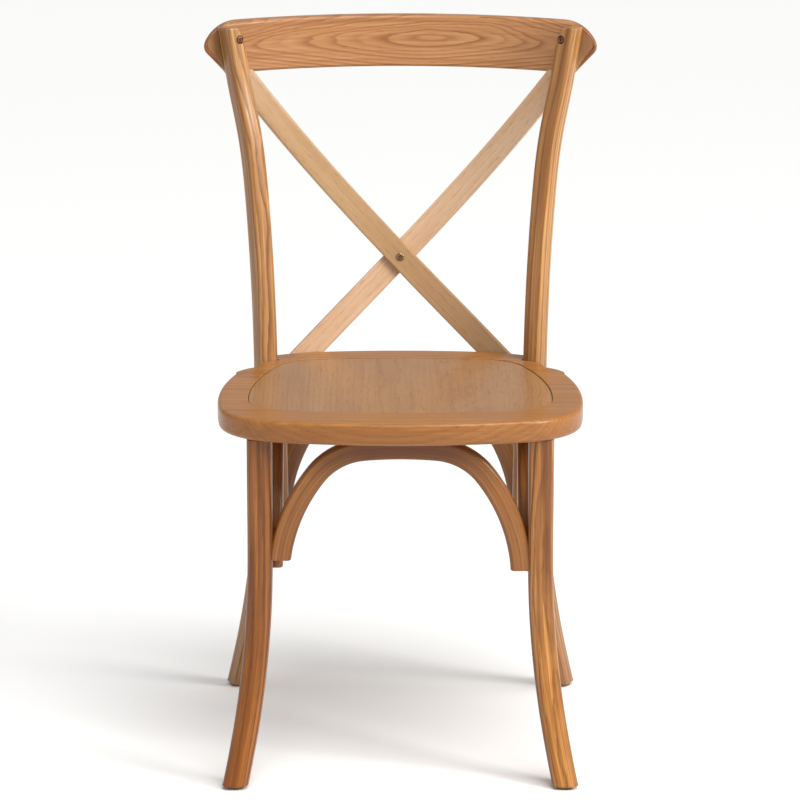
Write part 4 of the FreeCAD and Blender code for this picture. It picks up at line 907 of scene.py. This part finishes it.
def hollowReach(angle):
    # |s d - c| = r for the bow behind the seat that makes room for the slats, by the quadratic
    share = (low - slat["footHeight"]) / (rail["bottom"] - slat["footHeight"])
    bow = slat["lowBow"] + share * (rail["bow"] - slat["lowBow"])
    hollow = slat["lowFace"] + share * (rail["face"] - slat["lowFace"]) - seat["relief"]
    centre = hollow - bow - seat["middle"][1]
    along = centre * np.sin(angle)
    return along + np.sqrt(bow**2 - (centre * np.cos(angle)) ** 2)


cut = np.minimum(rayReach(foldHeading(theta)), hollowReach(theta))
cutBoard = np.minimum(board, cut)
hair = 0.0002
trim = np.where(cut < board - hair, seat["notchEase"], 1.0)   # the notch's edges are only eased
under, over = seat["bottomRound"] * trim, seat["topRound"] * trim
q = np.linspace(0, pi / 2, 8)
lip = seat["lip"]
profile = [(0 * board + seat["hub"], low + 0 * board)]
profile += [((cutBoard - seat["bottomRound"]) * k, low + 0 * board) for k in (0.3, 0.6, 0.85)]
profile += [(cutBoard - under * (1 - np.sin(a)), low + under * (1 - np.cos(a))) for a in q]
profile += [(cutBoard - over * (1 - np.cos(a)), top - over * (1 - np.sin(a))) for a in q]
inner = np.minimum(recess, cutBoard - 0.001)
profile += [(inner + lip + (cutBoard - over - inner - lip) * k, top + 0 * board) for k in (0.66, 0.33, 0)]
profile += [(inner, top - lip + 0 * board), (inner, floor + 0 * board)]
profile += [(inner * k, floor + 0 * board) for k in (0.6, 0.01)]
reach, height = np.array([p[0] for p in profile]), np.array([p[1] for p in profile])
x = seat["middle"][0] + reach * np.cos(theta)
y = seat["middle"][1] + reach * np.sin(theta)
rings = np.stack([x, y, height], -1)
piece = closedTube("seat_board_top", rings, np.stack([y, height - low, x], -1))
wood = makeWood("seatWood", seat["tint"], pith=(0.02, -0.11), taper=0.02, figure=0.35, warp=0.006,
                calm=0.10, edge=seat["edgeShade"], shift=8.0)
dress(piece, wood, "seat_board")

edge = recess - panel["gap"]
level = 0 * edge
profile = [(edge * 0.01, floor + level), (edge, floor + level), (edge, face - panel["bevel"] + level)]
profile += [(edge - panel["bevel"], face + level)]
profile += [(edge * k, face + level) for k in (0.9, 0.6, 0.3, 0.01)]
reach, height = np.array([p[0] for p in profile]), np.array([p[1] for p in profile])
x = seat["middle"][0] + reach * np.cos(theta)
y = seat["middle"][1] + reach * np.sin(theta)
piece = closedTube("seat_panel_sheet", np.stack([x, y, height], -1), np.stack([x, height - floor, y], -1))
wood = makeWood("panelWood", seat["panelTint"], pith=(0.05, -0.20), taper=0.01, figure=0.12, warp=0.008,
                streaks=0.4, calm=0.35, shift=11.0)
dress(piece, wood, "seat_panel")
print("seat made")


def makeMetal(name, colour, roughness, rim=None):
    # plated steel: fine speckle in roughness and a slight unevenness of tone; a painted shadow of
    # the counterbore darkens the head between the two radii of rim
    material = bpy.data.materials.new(name)
    n = Nodes(material)
    place = n.add("ShaderNodeTexCoord").outputs["Object"]
    speckle = n.noise(place, 2600.0, 4.0)
    stain = n.noise(place, 420.0, 3.0)
    dark = tuple(c * 0.55 for c in colour)
    tone = n.blend(n.between(stain, 0.35, 0.7), colour, dark)
    if rim:
        marks = n.add("ShaderNodeAttribute", attribute_name="grain").outputs["Vector"]
        radius = n.add("ShaderNodeSeparateXYZ", in_Vector=marks).outputs[0]
        # a painted shadow of the counterbore on the head's outer band
        tone = n.blend(n.between(radius, *rim, (0.0, 0.9)), tone, tuple(c * 0.12 for c in colour))
    rough = n.math("ADD", roughness, n.math("MULTIPLY", speckle, 0.18))
    bump = n.add("ShaderNodeBump", in_Height=speckle, in_Strength=0.15, in_Distance=0.0001)
    shader = n.add("ShaderNodeBsdfPrincipled", in_Roughness=rough)
    shader.inputs["Metallic"].default_value = 1.0
    n.feed(shader.inputs["Base Color"], tone)
    n.feed(shader.inputs["Normal"], bump.outputs[0])
    out = n.add("ShaderNodeOutputMaterial")
    n.feed(out.inputs["Surface"], shader.outputs[0])
    return material


def makePlastic(name, colour):
    # moulded glide: matt, with a faint grain and scuffs
    material = bpy.data.materials.new(name)
    n = Nodes(material)
    place = n.add("ShaderNodeTexCoord").outputs["Object"]
    speckle = n.noise(place, 900.0, 4.0)
    scuff = n.noise(n.stretch(place, (300, 60, 300)), 1.0, 3.0)
    tone = n.blend(n.between(scuff, 0.55, 0.75, (0.0, 0.5)), colour, tuple(min(c * 1.8, 1) for c in colour))
    bump = n.add("ShaderNodeBump", in_Height=speckle, in_Strength=0.2, in_Distance=0.0002)
    rough = n.math("ADD", 0.5, n.math("MULTIPLY", speckle, 0.15))
    shader = n.add("ShaderNodeBsdfPrincipled", in_Roughness=rough)
    n.feed(shader.inputs["Base Color"], tone)
    n.feed(shader.inputs["Normal"], bump.outputs[0])
    out = n.add("ShaderNodeOutputMaterial")
    n.feed(out.inputs["Surface"], shader.outputs[0])
    return material


def screwProfile(radius, head, rise, length):
    # from the point up the shank, out under the head, round its rim and over a domed top with
    # a cross recess; the head stands on height 0
    rimShare = 0.35                                       # of the rise, before the dome begins
    shares = np.linspace(0, 1, 26)[1:-1]
    dome = [(head * (1 - t**1.9), rise * (rimShare + (1 - rimShare) * np.sin(t * pi / 2))) for t in shares]
    shank = [(radius * 0.05, -length), (radius, -length + 1.5 * radius), (radius, -0.0001), (radius, 0.0)]
    rim = [(head - 0.0002, 0.0), (head, 0.0002), (head, rise * rimShare)]
    return shank + rim + [(r, h, drive["depth"]) for r, h in dome] + [(0.00002, rise, drive["depth"])]


finish = {
    "bronze": (0.30, 0.150, 0.090), "worn": (0.42, 0.29, 0.20), "zinc": (0.55, 0.54, 0.50),
    # rim gives the radii of the painted counterbore shadow on the screw heads
    "plastic": (0.20, 0.115, 0.055), "rim": (0.0032, 0.0044),
}
bronze = makeMetal("bronzedSteel", finish["bronze"], 0.28, finish["rim"])
worn = makeMetal("wornBronze", finish["worn"], 0.20)
zinc = makeMetal("zincSteel", finish["zinc"], 0.30)
plastic = makePlastic("glidePlastic", finish["plastic"])
crossZ = slatFlat(np.array([crossingShare]))[0, 1]
crossSpot = [((0, backFace(0, crossZ) - slat["thick"] / 2, crossZ), (0, -1, 0))]
footX, footZ = slatFlat(np.array([screw["slatShare"]]))[0]
slatSpots, boltSpots = [], []
for side in (-1, 1):
    back, _ = postWays(side)
    slatSpots.append(((side * footX, backFace(footX, footZ) + slat["thick"] / back[1], footZ), back))
    outward = post["depth"] / 2 - screw["washerSeat"] + screw["washerThick"]
    boltSpots.append((postAt(side, low + screw["boltUp"]) + back * outward, back))
common = (screw["radius"], screw["head"], screw["rise"])
boltForm = (screw["boltRadius"], screw["boltHead"], screw["boltRise"], screw["bolt"])
for node, spots, form, material, slot in [
    ("crest_screws", crestSpots, (*common, screw["crest"]), bronze, "bronzed_steel"),
    ("crossing_screw", crossSpot, (*common, screw["crossing"]), worn, "bronzed_steel"),
    ("slat_foot_screws", slatSpots, (*common, screw["slat"]), bronze, "bronzed_steel"),
    ("arch_end_screws", endSpots, (*common, screw["arch"]), zinc, "zinc_steel"),
    ("arch_top_screws", topSpots, (*common, screw["arch"]), zinc, "zinc_steel"),
    ("seat_bolts", boltSpots, boltForm, zinc, "zinc_steel"),
]:
    dress(turnedGroup(f"{node}_turned", screwProfile(*form), spots), material, node)

for name, material in {"bolt_washers": zinc, "glide_nails": zinc, "floor_glides": plastic}.items():
    obj = nodes[name]
    obj.data.materials.clear()
    obj.data.materials.append(material)
print("fasteners dressed")

view = {
    "distance": 5.485, "height": 1.6921, "pitch": 12.92, "focal": 4477.2, "centre": (400.35, 398.0),
    "frame": 800, "sensor": 36, "far": 60,
}
stage = {"colour": (0.93, 0.93, 0.92), "side": 9, "near": -7, "far": 16, "sky": 0.40}
lamps = {
    "keyRight": dict(place=(3.0, -1.8, 2.2), target=(0, 0, 0.5), size=1.2, power=92,
                     colour=(1.0, 0.985, 0.96)),
    "fillLeft": dict(place=(-2.8, -2.6, 1.8), target=(0, 0, 0.6), size=2.2, power=9,
                     colour=(0.97, 0.985, 1.0)),
}
overhead = {"strength": 2.25, "spread": 44, "turn": (24, 14, 0)}


def pale(name, colour):
    # a plain matt finish for the stage
    material = bpy.data.materials.new(name)
    material.use_nodes = True
    shader = material.node_tree.nodes["Principled BSDF"]
    shader.inputs["Base Color"].default_value = (*colour, 1)
    shader.inputs["Roughness"].default_value = 0.9
    return material


mesh = bpy.data.meshes.new("floor")
side, near, far = stage["side"], stage["near"], stage["far"]
mesh.from_pydata([(-side, near, 0), (side, near, 0), (side, far, 0), (-side, far, 0)], [], [(0, 1, 2, 3)])
ground = bpy.data.objects.new("floor", mesh)
bpy.context.scene.collection.objects.link(ground)
mesh.materials.append(pale("paleFloor", stage["colour"]))


def softLight(name, place, target, size, power, colour):
    # a square area light aimed at a point
    lamp = bpy.data.lights.new(name, "AREA")
    lamp.shape, lamp.size, lamp.energy, lamp.color = "SQUARE", size, power, colour
    obj = bpy.data.objects.new(name, lamp)
    obj.location = place
    aim = np.subtract(target, place)
    obj.rotation_euler = (np.arctan2(np.hypot(aim[0], aim[1]), -aim[2]), 0, np.arctan2(aim[0], aim[1]) * -1)
    bpy.context.scene.collection.objects.link(obj)


for name, form in lamps.items():
    softLight(name, **form)
sun = bpy.data.lights.new("ceiling", "SUN")              # one wide soft source lights the floor evenly
sun.energy, sun.angle = overhead["strength"], radians(overhead["spread"])
ceiling = bpy.data.objects.new("ceiling", sun)
ceiling.rotation_euler = [radians(angle) for angle in overhead["turn"]]
bpy.context.scene.collection.objects.link(ceiling)
world = bpy.data.worlds.new("studio")
world.use_nodes = True
world.node_tree.nodes["Background"].inputs[0].default_value = (1.0, 1.0, 1.0, 1)
world.node_tree.nodes["Background"].inputs[1].default_value = stage["sky"]
bpy.context.scene.world = world
bpy.context.scene.view_settings.view_transform = "Standard"

camera = bpy.data.cameras.new("photoView")
camera.sensor_width = view["sensor"]
camera.lens = view["focal"] * view["sensor"] / view["frame"]
camera.shift_x = (view["frame"] / 2 - view["centre"][0]) / view["frame"]
camera.shift_y = (view["centre"][1] - view["frame"] / 2) / view["frame"]
camera.clip_end = view["far"]
eye = bpy.data.objects.new("photoView", camera)
eye.location = (0, -view["distance"], view["height"])
eye.rotation_euler = (pi / 2 - radians(view["pitch"]), 0, 0)
bpy.context.scene.collection.objects.link(eye)
bpy.context.scene.camera = eye
print("stage, light and camera set")
